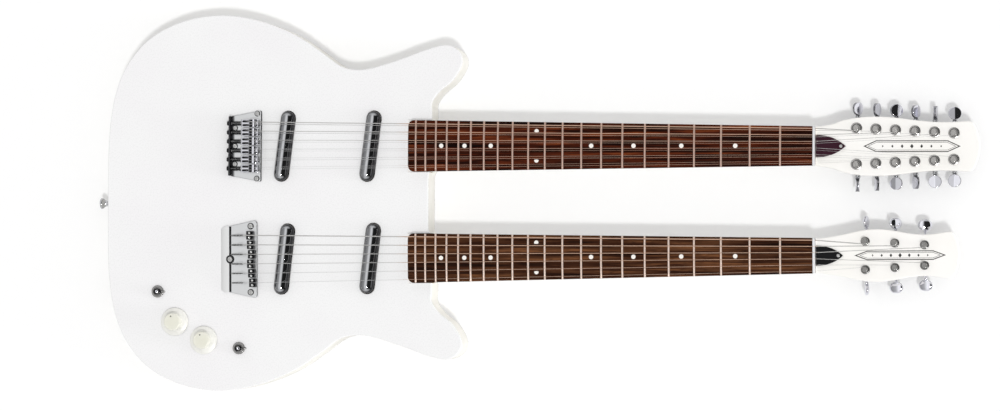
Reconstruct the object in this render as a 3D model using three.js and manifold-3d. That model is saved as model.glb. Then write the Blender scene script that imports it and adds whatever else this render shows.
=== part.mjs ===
import * as THREE from 'three';
import { mergeVertices } from 'three/addons/utils/BufferGeometryUtils.js';
import Module from 'manifold-3d';

// Double-neck electric guitar: hardboard faces on a wooden frame, a vinyl strip round the side,
// and two bolted necks, twelve strings above and six below.
// It lies on its back, in millimetres. X runs from the saddles to the headstocks, Y towards the
// twelve-string side and Z up out of the face. The origin is on the back, under the saddles.

// Fits
const seatGap = 0.3; // between pieces that sit on each other
const turnGap = 0.3; // round a shaft, a post or a lever
const overrun = 2; // how far a cutter or a joined piece runs past a face

// Body
const bodyLength = 416; // tail to horn tips
const bodyWidth = 429.4;
const bodyDepth = 40;
const hornReach = 240.6; // from the saddles forwards to the horn tips
const tailReach = bodyLength - hornReach; // from the saddles back to the tail
const boardThickness = 3;
const tapeThickness = 1.2;
const outlineSteps = 2; // facets between two points of the outline
const chamberSteps = 2;
const slotArcs = 4;

// Half of the outline, from the tail round the bout and the horn to the outer side of a neck:
// how far along the body, and how far across its half width
const outlineShares = [
  [0, 0], [0.006, 0.433], [0.029, 0.637], [0.066, 0.773], [0.124, 0.887], [0.214, 0.97],
  [0.32, 1], [0.43, 0.968], [0.537, 0.884], [0.608, 0.793], [0.666, 0.716], [0.723, 0.702],
  [0.82, 0.75], [0.91, 0.81], [0.96, 0.826], [0.991, 0.7895], [0.999, 0.733],
  [0.974, 0.642], [0.935, 0.578], [0.915, 0.52], [0.915, 0.473],
];
// The front edge between the necks: its corners beside the necks, then the flat middle
const crotchShares = [[0.919, 0.17], [0.905, 0.165], [0.905, 0.125]];
// Chambers left in the wooden frame, as shares of the body in the same way
const sideChamberShares = [
  [0.085, 0.46], [0.11, 0.69], [0.19, 0.845], [0.32, 0.885], [0.45, 0.83], [0.56, 0.725],
  [0.63, 0.62], [0.6, 0.54], [0.48, 0.53], [0.33, 0.53], [0.28, 0.45], [0.16, 0.41],
];
const middleChamberShares = [[0.07, 0.085], [0.76, 0.085]];

// Necks, in a line that starts at the saddles
const scaleLength = 635;
const lineOffset = 64.4; // from the middle of the body to each line, at the saddles
const toeIn = THREE.MathUtils.degToRad(0.36); // how far each line leans towards the other
const fretCount = 21;
const boardEndX = 180; // where the fingerboard ends over the body
const fingerboardTop = 50;
const fingerboardDepth = 6;
const fingerboardRadius = 355;
const fingerboardArcs = 3;
const endCornerRadius = 6.5;
const endCornerSteps = 2;
const fretWidth = 2.6;
const fretHeight = 1.1;
const neckLip = 1.5; // neck wood that shows past the end of the fingerboard
const heelBottom = 22;
const heelRunX = 208; // where the square heel starts to thin into the neck
const neckBottomAtHeel = 27.5;
const neckBottomAtNut = 28.6;
const neckSides = 8;
const tongueX = 150; // end of the tongue under the top board
const tongueInset = 4;
const nutThickness = 3;
const nutHeight = 2.2; // above the middle of the fingerboard
const headTop = 40;
const headDepth = 14;
const headSteps = 2;

// Strings
const lowString = 1.2; // diameter of the heaviest string
const saddleStringHeight = 54.8;
const nutStringHeight = 51.9;
const stringSides = 4;
const wrapTurns = 1.5; // turns of each string round its post
const wrapSteps = 8; // facets in a turn
const wrapSpace = 0.5; // between the turns
const wrapHeight = 47.6;

// Tuners
const postRadius = 3;
const postWaistRadius = 2.5;
const postTop = 50.6;
const postHeadHeight = 2;
const postShoulder = 43.6;
const postBottom = 23.6;
const postSides = 8;
const washerHeight = 1.6;
const washerSides = 10;
const housingLength = 15;
const housingInner = 7.5; // from the post towards the middle of the headstock
const housingOuter = 8.5; // from the post outwards
const housingDepth = 11;
const housingChamfer = 1.5;
const shaftHeight = 19.5;
const shaftDepth = 4; // how far the button's shaft goes into its collar
const collarSides = 8;
const buttonArcs = 5;
const shaftSides = 6;

// Pickups
const pickupLength = 79.5;
const pickupRadius = 8;
const pickupDomeSteps = 3;
const pickupHeight = 41.4; // of the middle of the tube
const pickupSides = 14;
const pickupSlant = THREE.MathUtils.degToRad(6.8);
const pickupPlaces = { bridge: 34.5, neck: 134.5 };
const pickupClearance = 0.4;
const pickupRoute = 2; // room round the tube inside the frame
const pickupScrewRadius = 1.6;
const pickupScrewInset = 9;

// Knobs and their pots
const knobRadius = 16;
const knobSkirtHeight = 3;
const knobCapRadius = 9.6;
const knobHeight = 13.5;
const knobLift = 0.8; // between the skirt and the face
const knobSides = 20;
const knobHollowRadius = 7;
const knobShoulder = 1; // slope between the cap and the skirt
const potRadius = 12;
const potDepth = 9;
const potBushRadius = 4.7;
const potBushHeight = 4;
const potShaftRadius = 3;
const potShaftDepth = 9;
const knobPlaceShares = [[0.1945, 0.633], [0.2774, 0.7305]];

// Toggle switches
const toggleNutRadius = 7;
const toggleNutHeight = 2.4;
const toggleBushRadius = 3.6;
const toggleBushHeight = 5;
const toggleBore = 2.5;
const toggleBoreDepth = 7;
const toggleBodyLength = 13;
const toggleBodyWidth = 9;
const toggleBodyDepth = 12;
const leverRadius = 1.3;
const leverTipRadius = 1.7;
const leverLength = 12.5;
const leverBallRadius = 1.9;
const leverSides = 8;
const leverRest = THREE.MathUtils.degToRad(12); // leans towards the necks
const togglePlaceShares = [[0.1452, 0.4728], [0.3767, 0.7723]];

// Output jack and strap button, in the tail
const jackPlaceShare = -0.4285; // across half the width of the body
const jackRadius = 4.7;
const jackBore = 3.2;
const jackDepth = 26;
const jackProud = 3.5;
const jackNutRadius = 7;
const jackNutHeight = 2.2;
const strapLength = 14.4;
const strapBaseRadius = 5.6;
const strapWaistRadius = 3.3;
const strapEndRadius = 6.5;
const strapScrewRadius = 2;
const strapScrewLength = 16;
const strapSides = 14;
// Along the strap button: where its neck starts and ends, and where its rounded end starts
const strapNeckShares = [0.35, 0.6];
const strapRimShare = 0.85;
const strapFaceShare = 0.8; // of the end's radius that stays flat
const fittingSides = 12;
const sideMiddle = bodyDepth / 2;

// Truss rod covers
const coverThickness = 1.8;
const coverArcs = 6;
const coverFlareShare = 0.6; // how far the full width carries towards the tip

// What differs between the two necks
const twelve = {
  tag: '12',
  side: 1,
  nutWidth: 43.3,
  endWidth: 58.2,
  courses: 6,
  stringsInCourse: 2,
  nutSpread: 36,
  saddleSpread: 51.5,
  nutPair: 2.3,
  saddlePair: 2.2,
  startPair: 5,
  gaugeShares: [1, 0.6, 0.8, 0.4, 0.65, 0.35, 0.5, 0.3, 0.35, 0.35, 0.3, 0.3],
  crestShares: [0, 0, 0, 0, 0, 0],
  headLength: 178.8,
  headHalfWidth: 32.6,
  headShares: [
    [0.03, 0.68], [0.1, 0.75], [0.17, 0.883], [0.296, 0.99], [0.385, 1], [0.475, 0.969],
    [0.61, 0.877], [0.743, 0.816], [0.85, 0.822], [0.92, 0.842], [0.945, 0.825],
    [0.962, 0.76], [0.985, 0.46], [1, 0],
  ],
  posts: 6,
  firstPost: 44.4,
  lastPost: 150.7,
  firstPostSpread: 19.9,
  lastPostSpread: 14.5,
  washerRadius: 6.2,
  collarRadius: 3.2,
  collarReach: 14,
  shaftRadius: 1.7,
  buttonReach: 22.6,
  buttonLength: 14,
  buttonWidth: 14.6,
  buttonThickness: 5.6,
  bassTurns: [50, 65, 25, 55, 88, 12],
  trebleTurns: [86, 74, 22, 60, 4, 8],
  coverLength: 32.5,
  coverHalfWidth: 12.3,
  plateFrontX: 7.5,
  plateFrontWidth: 82,
  plateRearX: -29.5,
  plateRearWidth: 68,
};
const six = {
  tag: '6',
  side: -1,
  nutWidth: 39.1,
  endWidth: 55.8,
  courses: 6,
  stringsInCourse: 1,
  nutSpread: 34,
  saddleSpread: 54,
  nutPair: 0,
  saddlePair: 0,
  startPair: 0,
  gaugeShares: [1, 0.8, 0.65, 0.5, 0.35, 0.3],
  crestShares: [-1.14, -0.98, -0.78, -0.95, -0.78, -0.62],
  headLength: 156.5,
  headHalfWidth: 28.9,
  headShares: [
    [0.03, 0.67], [0.1, 0.72], [0.185, 0.8], [0.338, 0.97], [0.44, 1], [0.54, 0.944],
    [0.662, 0.825], [0.783, 0.787], [0.87, 0.845], [0.92, 0.885], [0.944, 0.88],
    [0.958, 0.81], [0.984, 0.5], [1, 0],
  ],
  posts: 3,
  firstPost: 54,
  lastPost: 118.6,
  firstPostSpread: 15.6,
  lastPostSpread: 11.3,
  washerRadius: 5,
  collarRadius: 2.8,
  collarReach: 10,
  shaftRadius: 1.4,
  buttonReach: 22,
  buttonLength: 12.5,
  buttonWidth: 15.8,
  buttonThickness: 5.6,
  bassTurns: [76, 38, 12],
  trebleTurns: [82, 20, 16],
  coverLength: 29.5,
  coverHalfWidth: 11.1,
  plateFrontX: 3.2,
  plateFrontWidth: 90,
  plateRearX: -30,
  plateRearWidth: 75.5,
};

// Twelve-string bridge: a flat plate with a rear flange and six bent saddles
const plateThickness = 2;
const flangeHeight = 7;
const saddleWidth = 8.6;
const saddleRearX = -15.5;
const saddleFrontX = 5.5;
const saddleWall = 1.8;
const saddleCrestRearX = -0.4;
const saddleCrestFrontX = 2;
const saddleRearDrop = 6.2; // from the crest down to the rear edge
const saddleDeckDrop = 4.8; // from the crest down to the front of the slotted deck
const saddleShelfDrop = 2; // from the crest down to the shelf of the grub screws
const stringSlotLength = 8;
const stringSlotWidth = 2.2;
const stringSlotFrontX = -5.5;
const intonationRadius = 1.6;
const intonationHeight = 2.8; // above the plate
const intonationProud = 3;
const intonationHeadRadius = 2.6;
const screwSides = 6;

// Six-string bridge: a plate whose tail rolls down to the face, with six small blocks
const tailRollX = -40;
const tailRollSteps = 3;
const tailSlotWidth = 2.6;
const tailSlotLength = 68;
const sixSaddleLength = 6.4;

// Colours and finishes
const finishes = {
  whitePaint: { color: 0xf0f0f1, roughness: 0.25, metalness: 0 },
  creamPaint: { color: 0xf4f2ea, roughness: 0.35, metalness: 0 },
  vinyl: { color: 0xe9e8e2, roughness: 0.6, metalness: 0 },
  wood: { color: 0xc9a877, roughness: 0.8, metalness: 0 },
  rosewood: { color: 0x4b1f12, roughness: 0.55, metalness: 0 },
  chrome: { color: 0xc8cace, roughness: 0.12, metalness: 1 },
  nickel: { color: 0xb9b7b0, roughness: 0.3, metalness: 1 },
  knobPlastic: { color: 0xf3f3e8, roughness: 0.35, metalness: 0 },
  blackPlastic: { color: 0x0b0b0c, roughness: 0.3, metalness: 0 },
  plumPlastic: { color: 0x3b2a35, roughness: 0.3, metalness: 0 },
};

const wasm = await Module();
wasm.setup();

const guitar = new THREE.Group();

// Shapes

// Merges shared vertices, drops collapsed facets and turns the skin outwards
function tidy(geometry) {
  const bare = geometry.clone();
  bare.deleteAttribute('normal');
  bare.deleteAttribute('uv');
  const merged = mergeVertices(bare);
  const corners = merged.index.array;
  const kept = [];
  for (let i = 0; i < corners.length; i += 3) {
    const [a, b, c] = [corners[i], corners[i + 1], corners[i + 2]];
    if (a !== b && b !== c && c !== a) kept.push(a, b, c);
  }
  const at = (i) => new THREE.Vector3().fromBufferAttribute(merged.attributes.position, i);
  let volume = 0;
  for (let i = 0; i < kept.length; i += 3) {
    volume += at(kept[i]).dot(at(kept[i + 1]).cross(at(kept[i + 2])));
  }
  if (volume < 0) kept.reverse();
  merged.setIndex(kept);
  return merged;
}

function solid(geometry) {
  const closed = tidy(geometry);
  return new wasm.Manifold(new wasm.Mesh({
    numProp: 3,
    vertProperties: closed.attributes.position.array,
    triVerts: Uint32Array.from(closed.index.array),
  }));
}

function skin(manifold) {
  const mesh = manifold.getMesh();
  const geometry = new THREE.BufferGeometry();
  geometry.setAttribute('position', new THREE.BufferAttribute(mesh.vertProperties, 3));
  geometry.setIndex(Array.from(mesh.triVerts));
  return geometry;
}

function join(geometries) {
  return geometries.map(solid).reduce((sum, next) => sum.add(next));
}

function cut(manifold, geometries) {
  return geometries.map(solid).reduce((rest, next) => rest.subtract(next), manifold);
}

function piece(name, geometry, finish, parent) {
  const flat = tidy(geometry).toNonIndexed();
  flat.computeVertexNormals();
  const mesh = new THREE.Mesh(flat, new THREE.MeshStandardMaterial(finishes[finish]));
  mesh.name = name;
  parent.add(mesh);
  return mesh;
}

// Joins rings of equal counts into a closed skin with flat ends
function loft(rings) {
  const count = rings[0].length;
  const corners = [];
  for (let r = 0; r < rings.length - 1; r += 1) {
    for (let i = 0; i < count; i += 1) {
      const a = r * count + i;
      const b = r * count + (i + 1) % count;
      corners.push(a, b, b + count, a, b + count, a + count);
    }
  }
  const last = (rings.length - 1) * count;
  for (let i = 1; i < count - 1; i += 1) {
    corners.push(0, i + 1, i);
    corners.push(last, last + i, last + i + 1);
  }
  const geometry = new THREE.BufferGeometry().setFromPoints(rings.flat());
  geometry.setIndex(corners);
  return geometry;
}

// A box by its lowest corner and its size
function block(x, y, z, length, width, height) {
  const geometry = new THREE.BoxGeometry(length, width, height);
  return geometry.translate(x + length / 2, y + width / 2, z + height / 2);
}

// A shape in XY raised from one height to another
function raised(shape, bottom, top) {
  const geometry = new THREE.ExtrudeGeometry(shape, { depth: top - bottom, bevelEnabled: false });
  return geometry.translate(0, 0, bottom);
}

// A profile of radius and height turned round the Z axis
function turned(profile, sides) {
  const points = profile.map(([radius, height]) => new THREE.Vector2(radius, height));
  return new THREE.LatheGeometry(points, sides).rotateX(Math.PI / 2);
}

function rod(radius, bottom, top, sides) {
  return turned([[0, bottom], [radius, bottom], [radius, top], [0, top]], sides);
}

// A smooth run through hand-chosen points
function smooth(points, steps, closed = false) {
  const spatial = points.map(([x, y]) => new THREE.Vector3(x, y, 0));
  const curve = new THREE.CatmullRomCurve3(spatial, closed, 'centripetal');
  const count = (closed ? points.length : points.length - 1) * steps;
  const run = curve.getPoints(count).map((p) => new THREE.Vector2(p.x, p.y));
  if (closed) run.pop();
  return run;
}

// A half outline that starts on the middle line, with its mirror image before it
function mirrored(half) {
  const lower = half.slice(1).map(([x, y]) => [x, -y]).reverse();
  return [...lower, ...half];
}

// Moves every point of a closed run inwards
function inset(points, distance) {
  const turn = THREE.ShapeUtils.isClockWise(points) ? -1 : 1;
  return points.map((point, i) => {
    const before = points[(i + points.length - 1) % points.length];
    const after = points[(i + 1) % points.length];
    const along = after.clone().sub(before).normalize();
    return new THREE.Vector2(
      point.x - turn * along.y * distance,
      point.y + turn * along.x * distance,
    );
  });
}

// A slot along Y with round ends, set in place
function slotRun(halfLength, radius, place) {
  const path = new THREE.Path();
  path.absarc(0, halfLength - radius, radius, 0, Math.PI);
  path.absarc(0, radius - halfLength, radius, Math.PI, 2 * Math.PI);
  return path.getPoints(slotArcs).map((p) => {
    const moved = new THREE.Vector3(p.x, p.y, 0).applyMatrix4(place);
    return new THREE.Vector2(moved.x, moved.y);
  });
}

// Places

function bodyPoint([along, across]) {
  return [along * bodyLength - tailReach, across * bodyWidth / 2];
}

function linePlace(neck) {
  const place = new THREE.Matrix4().makeRotationZ(-neck.side * toeIn);
  return place.setPosition(0, neck.side * lineOffset, 0);
}

function pickupPlace(neck, x) {
  const turn = new THREE.Matrix4().makeRotationZ(-pickupSlant).setPosition(x, 0, 0);
  return linePlace(neck).multiply(turn);
}

function boardHalfWidth(neck, x) {
  const share = (scaleLength - x) / (scaleLength - boardEndX);
  return THREE.MathUtils.lerp(neck.nutWidth, neck.endWidth, share) / 2;
}

function crown(y) {
  return fingerboardRadius - Math.sqrt(fingerboardRadius ** 2 - y ** 2);
}

function courseY(neck, course) {
  return (0.5 - course / (neck.courses - 1)) * neck.saddleSpread;
}

// Where a course meets its saddle
function crestX(neck, course) {
  return neck.crestShares[course] * sixSaddleLength;
}

// The height of a saddle's crest, just under its string
function crestHeight(y) {
  return saddleStringHeight - crown(y) - lowString / 2 - seatGap;
}

// Where a string leaves its bridge: through a slot in its saddle, or over the slot in the tail
function stringStart(neck, y) {
  if (neck === twelve) {
    const x = stringSlotFrontX - stringSlotLength / 2;
    const drop = THREE.MathUtils.mapLinear(
      x, saddleRearX, stringSlotFrontX, saddleRearDrop, saddleDeckDrop,
    );
    return new THREE.Vector3(x, y, crestHeight(y) - drop);
  }
  const plateTop = bodyDepth + seatGap + plateThickness;
  return new THREE.Vector3(
    neck.plateRearX + tailSlotWidth / 2, y, plateTop + seatGap + lowString - crown(y),
  );
}

function postPlace(neck, index) {
  const share = index / (neck.posts - 1);
  return {
    x: scaleLength + nutThickness + THREE.MathUtils.lerp(neck.firstPost, neck.lastPost, share),
    y: THREE.MathUtils.lerp(neck.firstPostSpread, neck.lastPostSpread, share),
  };
}

// Body

function bodyOutline() {
  const half = outlineShares.map(bodyPoint);
  const round = smooth(mirrored(half), outlineSteps);
  const [besideNeck, bend, middle] = crotchShares.map(bodyPoint);
  const front = new THREE.Path();
  front.moveTo(besideNeck[0], besideNeck[1]);
  front.quadraticCurveTo(bend[0], bend[1], middle[0], middle[1]);
  front.lineTo(middle[0], -middle[1]);
  front.quadraticCurveTo(bend[0], -bend[1], besideNeck[0], -besideNeck[1]);
  return [...round, ...front.getPoints(outlineSteps)];
}

const outline = bodyOutline();

// How far back the tail lies beside the middle line
function tailEdge(y) {
  const i = outline.findIndex((point, n) => n > 0 && outline[n - 1].y < y && point.y >= y);
  const [before, after] = [outline[i - 1], outline[i]];
  return THREE.MathUtils.mapLinear(y, before.y, after.y, before.x, after.x);
}

// The jack's nut meets the tail with its inner side
const jackPlace = jackPlaceShare * bodyWidth / 2;
const jackX = tailEdge(jackPlace + jackNutRadius);
const frameBottom = boardThickness + seatGap;
const frameTop = bodyDepth - boardThickness - seatGap;

function pickupSlots(clearance) {
  return [twelve, six].flatMap((neck) => Object.values(pickupPlaces).map((x) => slotRun(
    pickupLength / 2 + clearance,
    pickupRadius + clearance,
    pickupPlace(neck, x),
  )));
}

function chambers() {
  const upper = sideChamberShares.map(bodyPoint);
  const lower = upper.map(([x, y]) => [x, -y]);
  const [[rear, half], [front]] = middleChamberShares.map(bodyPoint);
  const middle = new THREE.Path();
  middle.absarc(rear + half, 0, half, Math.PI / 2, 1.5 * Math.PI);
  middle.absarc(front - half, 0, half, 1.5 * Math.PI, 2.5 * Math.PI);
  return [
    smooth(upper, chamberSteps, true),
    smooth(lower, chamberSteps, true),
    middle.getPoints(slotArcs),
  ];
}

// What each neck takes out of the wooden frame
function neckPocket(neck) {
  const half = boardHalfWidth(neck, boardEndX) + seatGap;
  const length = bodyLength - tailReach;
  const pocket = block(
    tongueX - seatGap, -half, heelBottom - seatGap,
    length, 2 * half, bodyDepth,
  );
  return pocket.applyMatrix4(linePlace(neck));
}

function strapHole() {
  const radius = strapScrewRadius + turnGap;
  const hole = rod(radius, -overrun, strapScrewLength + turnGap, strapSides);
  return hole.rotateY(Math.PI / 2).translate(-tailReach, 0, sideMiddle);
}

function jackHole() {
  const hole = rod(jackRadius + turnGap, -overrun, jackDepth + overrun, fittingSides);
  return hole.rotateY(Math.PI / 2).translate(jackX - jackProud, jackPlace, sideMiddle);
}

function sideCutters() {
  return [neckPocket(twelve), neckPocket(six), strapHole(), jackHole()];
}

// Cutters that run through the body from face to face
function through(runs) {
  return runs.map((run) => raised(new THREE.Shape(run), -overrun, bodyDepth + overrun));
}

function bodyFrame() {
  const run = inset(outline, tapeThickness + seatGap);
  const frame = solid(raised(new THREE.Shape(run), frameBottom, frameTop));
  return cut(frame, [...through([...chambers(), ...pickupSlots(pickupRoute)]), ...sideCutters()]);
}

function sideTape() {
  const tape = solid(raised(new THREE.Shape(outline), frameBottom, frameTop));
  return cut(tape, [...through([inset(outline, tapeThickness)]), ...sideCutters()]);
}

function backBoard() {
  return raised(new THREE.Shape(outline), 0, boardThickness);
}

// The top board carries the bodies of the pots and switches under it
function potBody([x, y]) {
  const pot = rod(potRadius, frameTop - potDepth, bodyDepth - boardThickness / 2, fittingSides);
  const bush = rod(potBushRadius, frameTop, bodyDepth + potBushHeight, fittingSides);
  return [pot.translate(x, y, 0), bush.translate(x, y, 0)];
}

function potBore([x, y]) {
  const radius = potShaftRadius + turnGap;
  const bottom = bodyDepth + potBushHeight - potShaftDepth - seatGap;
  return rod(radius, bottom, bodyDepth + potBushHeight + overrun, fittingSides).translate(x, y, 0);
}

function toggleBody([x, y]) {
  const body = block(
    x - toggleBodyLength / 2, y - toggleBodyWidth / 2, frameTop - toggleBodyDepth,
    toggleBodyLength, toggleBodyWidth, toggleBodyDepth + boardThickness / 2,
  );
  const nut = rod(toggleNutRadius, frameTop, bodyDepth + toggleNutHeight, fittingSides);
  const bush = rod(toggleBushRadius, frameTop, bodyDepth + toggleBushHeight, leverSides);
  return [body, nut.translate(x, y, 0), bush.translate(x, y, 0)];
}

function toggleBoreCut([x, y]) {
  const top = bodyDepth + toggleBushHeight;
  return rod(toggleBore, top - toggleBoreDepth, top + overrun, leverSides).translate(x, y, 0);
}

function lowerBout(share) {
  const [x, y] = bodyPoint(share);
  return [x, -y];
}
const knobPlaces = knobPlaceShares.map(lowerBout);
const togglePlaces = togglePlaceShares.map(lowerBout);

function topNotch(neck) {
  const half = boardHalfWidth(neck, boardEndX) + seatGap;
  const notch = block(
    boardEndX - neckLip - seatGap, -half, frameTop - overrun,
    bodyLength - tailReach, 2 * half, boardThickness + 2 * overrun,
  );
  return notch.applyMatrix4(linePlace(neck));
}

function topBoard() {
  const board = raised(new THREE.Shape(outline), bodyDepth - boardThickness, bodyDepth);
  const notched = cut(solid(board), [
    ...through(pickupSlots(pickupClearance)), topNotch(twelve), topNotch(six),
  ]);
  const added = join([...knobPlaces.flatMap(potBody), ...togglePlaces.flatMap(toggleBody)]);
  return cut(notched.add(added), [...knobPlaces.map(potBore), ...togglePlaces.map(toggleBoreCut)]);
}

// Neck line: pieces are modelled round y = 0 and turned into place by their group

// A section of the neck: flat on top, round or square below
function neckRing(x, halfWidth, top, bottom, squareness) {
  const ring = [];
  for (let i = 0; i <= neckSides; i += 1) {
    const angle = Math.PI * i / neckSides;
    const [c, s] = [Math.cos(angle), Math.sin(angle)];
    ring.push(new THREE.Vector3(
      x,
      halfWidth * Math.sign(c) * Math.abs(c) ** (2 / squareness),
      top - (top - bottom) * Math.abs(s) ** (2 / squareness),
    ));
  }
  return ring;
}

const neckTop = fingerboardTop - fingerboardDepth - seatGap;
const headBottom = headTop - headDepth;

function neckShaft(neck) {
  const nutEdge = scaleLength + nutThickness;
  const run = nutEdge - heelRunX;
  // Where each section lies between the heel and the nut, its depth and how square it is
  const stations = [
    { share: 0, bottom: heelBottom, squareness: 9 },
    { share: 0.035, bottom: heelBottom, squareness: 6 },
    { share: 0.075, bottom: neckBottomAtHeel - seatGap, squareness: 2.8 },
    { share: 0.12, bottom: neckBottomAtHeel, squareness: 2.2 },
    { share: 0.5, bottom: (neckBottomAtHeel + neckBottomAtNut) / 2, squareness: 2.1 },
    { share: 0.9, bottom: neckBottomAtNut, squareness: 2.1 },
    { share: 0.955, bottom: neckBottomAtNut, squareness: 2.4 },
    { share: 1, bottom: headBottom, squareness: 4.5 },
  ];
  const heelX = boardEndX - neckLip;
  const half = (x) => boardHalfWidth(neck, Math.max(x, boardEndX));
  const heel = neckRing(heelX, half(heelX), neckTop, heelBottom, stations[0].squareness);
  const rings = stations.map(({ share, bottom, squareness }) => {
    const x = heelRunX + share * run;
    return neckRing(x, half(x), neckTop, bottom, squareness);
  });
  return loft([heel, ...rings]);
}

function neckTongue(neck) {
  const half = boardHalfWidth(neck, boardEndX) - tongueInset;
  return block(
    tongueX, -half, heelBottom,
    boardEndX + overrun - tongueX, 2 * half, frameTop - seatGap - heelBottom,
  );
}

function headstock(neck) {
  const start = scaleLength + nutThickness;
  const half = neck.headShares.map(([along, across]) => [
    start + along * neck.headLength,
    across * neck.headHalfWidth,
  ]);
  const inside = [start - overrun, neck.nutWidth / 2 - seatGap];
  const run = smooth(mirrored([inside, ...half].reverse()), headSteps);
  return raised(new THREE.Shape(run), headBottom, headTop);
}

function eachTuner(neck, make) {
  const made = [];
  for (const side of [1, -1]) {
    for (let i = 0; i < neck.posts; i += 1) {
      const { x, y } = postPlace(neck, i);
      made.push(make({ x, y: side * y, side, index: i }));
    }
  }
  return made;
}

// The gear housing under the headstock, with the collar that carries the button's shaft
function tunerHousing(neck, { x, y, side }) {
  const bottom = headBottom - housingDepth;
  const inner = side > 0 ? housingInner : housingOuter;
  const outer = side > 0 ? housingOuter : housingInner;
  const ring = (z, shrink) => [
    new THREE.Vector3(x - housingLength / 2 + shrink, y - inner + shrink, z),
    new THREE.Vector3(x + housingLength / 2 - shrink, y - inner + shrink, z),
    new THREE.Vector3(x + housingLength / 2 - shrink, y + outer - shrink, z),
    new THREE.Vector3(x - housingLength / 2 + shrink, y + outer - shrink, z),
  ];
  const box = loft([
    ring(bottom, housingChamfer),
    ring(bottom + housingChamfer, 0),
    ring(headBottom + overrun, 0),
  ]);
  const collar = rod(neck.collarRadius, 0, neck.collarReach, collarSides);
  collar.rotateX(-side * Math.PI / 2).translate(x, y, shaftHeight);
  return [box, collar];
}

function tunerWasher(neck, { x, y }) {
  const top = headTop + washerHeight;
  return rod(neck.washerRadius, headTop - overrun, top, washerSides).translate(x, y, 0);
}

function postHole({ x, y }) {
  const radius = postRadius + turnGap;
  const top = headTop + washerHeight + overrun;
  return rod(radius, postBottom - turnGap, top, postSides).translate(x, y, 0);
}

function shaftHole(neck, { x, y, side }) {
  const reach = neck.collarReach;
  const radius = neck.shaftRadius + turnGap;
  const hole = rod(radius, reach - shaftDepth - turnGap, reach + overrun, shaftSides);
  return hole.rotateX(-side * Math.PI / 2).translate(x, y, shaftHeight);
}

function neckPiece(neck) {
  const tuners = eachTuner(neck, (tuner) => tuner);
  const wood = [neckShaft(neck), neckTongue(neck), headstock(neck)];
  const metal = tuners.flatMap((t) => [...tunerHousing(neck, t), tunerWasher(neck, t)]);
  return cut(join([...wood, ...metal]), [
    ...tuners.map(postHole),
    ...tuners.map((tuner) => shaftHole(neck, tuner)),
  ]);
}

// A fingerboard section whose top is lifted where a fret crosses it
function boardRing(x, halfWidth, lift) {
  const bottom = fingerboardTop - fingerboardDepth;
  const ring = [new THREE.Vector3(x, -halfWidth, bottom)];
  for (let i = 0; i <= fingerboardArcs; i += 1) {
    const y = halfWidth * (2 * i / fingerboardArcs - 1);
    ring.push(new THREE.Vector3(x, y, fingerboardTop - crown(y) + lift));
  }
  ring.push(new THREE.Vector3(x, halfWidth, bottom));
  return ring;
}

function fretX(number) {
  return scaleLength / 2 ** (number / 12);
}

function fingerboard(neck) {
  const rings = [];
  for (let i = 0; i <= endCornerSteps; i += 1) {
    const angle = Math.PI / 2 * i / endCornerSteps;
    const x = boardEndX + endCornerRadius * (1 - Math.cos(angle));
    const half = boardHalfWidth(neck, x) - endCornerRadius * (1 - Math.sin(angle));
    rings.push(boardRing(x, half, 0));
  }
  for (let number = fretCount; number >= 1; number -= 1) {
    const x = fretX(number);
    rings.push(boardRing(x - fretWidth / 2, boardHalfWidth(neck, x - fretWidth / 2), 0));
    rings.push(boardRing(x, boardHalfWidth(neck, x), fretHeight));
    rings.push(boardRing(x + fretWidth / 2, boardHalfWidth(neck, x + fretWidth / 2), 0));
  }
  rings.push(boardRing(scaleLength - seatGap, boardHalfWidth(neck, scaleLength - seatGap), 0));
  return loft(rings);
}

function trussCover(neck) {
  const base = scaleLength + nutThickness + seatGap;
  const half = neck.coverHalfWidth;
  const shape = new THREE.Shape();
  const flare = base + neck.coverLength * coverFlareShare;
  shape.moveTo(base, -half);
  shape.quadraticCurveTo(flare, -half, base + neck.coverLength, 0);
  shape.quadraticCurveTo(flare, half, base, half);
  const bottom = headTop + seatGap;
  return raised(new THREE.Shape(shape.getPoints(coverArcs)), bottom, bottom + coverThickness);
}

// Strings

// A run of straight steps through given points, one step from each point to the next
class Route extends THREE.Curve {
  constructor(points) {
    super();
    this.points = points;
  }

  getPoint(t) {
    const place = t * (this.points.length - 1);
    const before = Math.min(Math.floor(place), this.points.length - 2);
    return this.points[before].clone().lerp(this.points[before + 1], place - before);
  }

  getUtoTmapping(u) {
    return u;
  }
}

function wire(points, diameter) {
  const section = new THREE.Shape();
  for (let i = 0; i < stringSides; i += 1) {
    const angle = 2 * Math.PI * i / stringSides;
    const [x, y] = [Math.cos(angle) * diameter / 2, Math.sin(angle) * diameter / 2];
    if (i === 0) section.moveTo(x, y);
    else section.lineTo(x, y);
  }
  return new THREE.ExtrudeGeometry(section, {
    steps: points.length - 1,
    extrudePath: new Route(points),
    curveSegments: 1,
  });
}

let leastWrapGap = Infinity;

// Turns round a post, starting on its inner side
function postWrap({ x, y, side }, diameter) {
  const radius = (postWaistRadius + turnGap) / Math.cos(Math.PI / wrapSteps) + diameter / 2;
  const pitch = diameter + wrapSpace;
  const points = [];
  for (let i = 0; i <= wrapTurns * wrapSteps; i += 1) {
    const turns = i / wrapSteps;
    const angle = side * (2 * Math.PI * turns - Math.PI / 2);
    points.push(new THREE.Vector3(
      x + radius * Math.cos(angle),
      y + radius * Math.sin(angle),
      wrapHeight - turns * pitch,
    ));
  }
  for (let i = wrapSteps; i < points.length; i += 1) {
    leastWrapGap = Math.min(leastWrapGap, points[i].distanceTo(points[i - wrapSteps]) - diameter);
  }
  return points;
}

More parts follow.
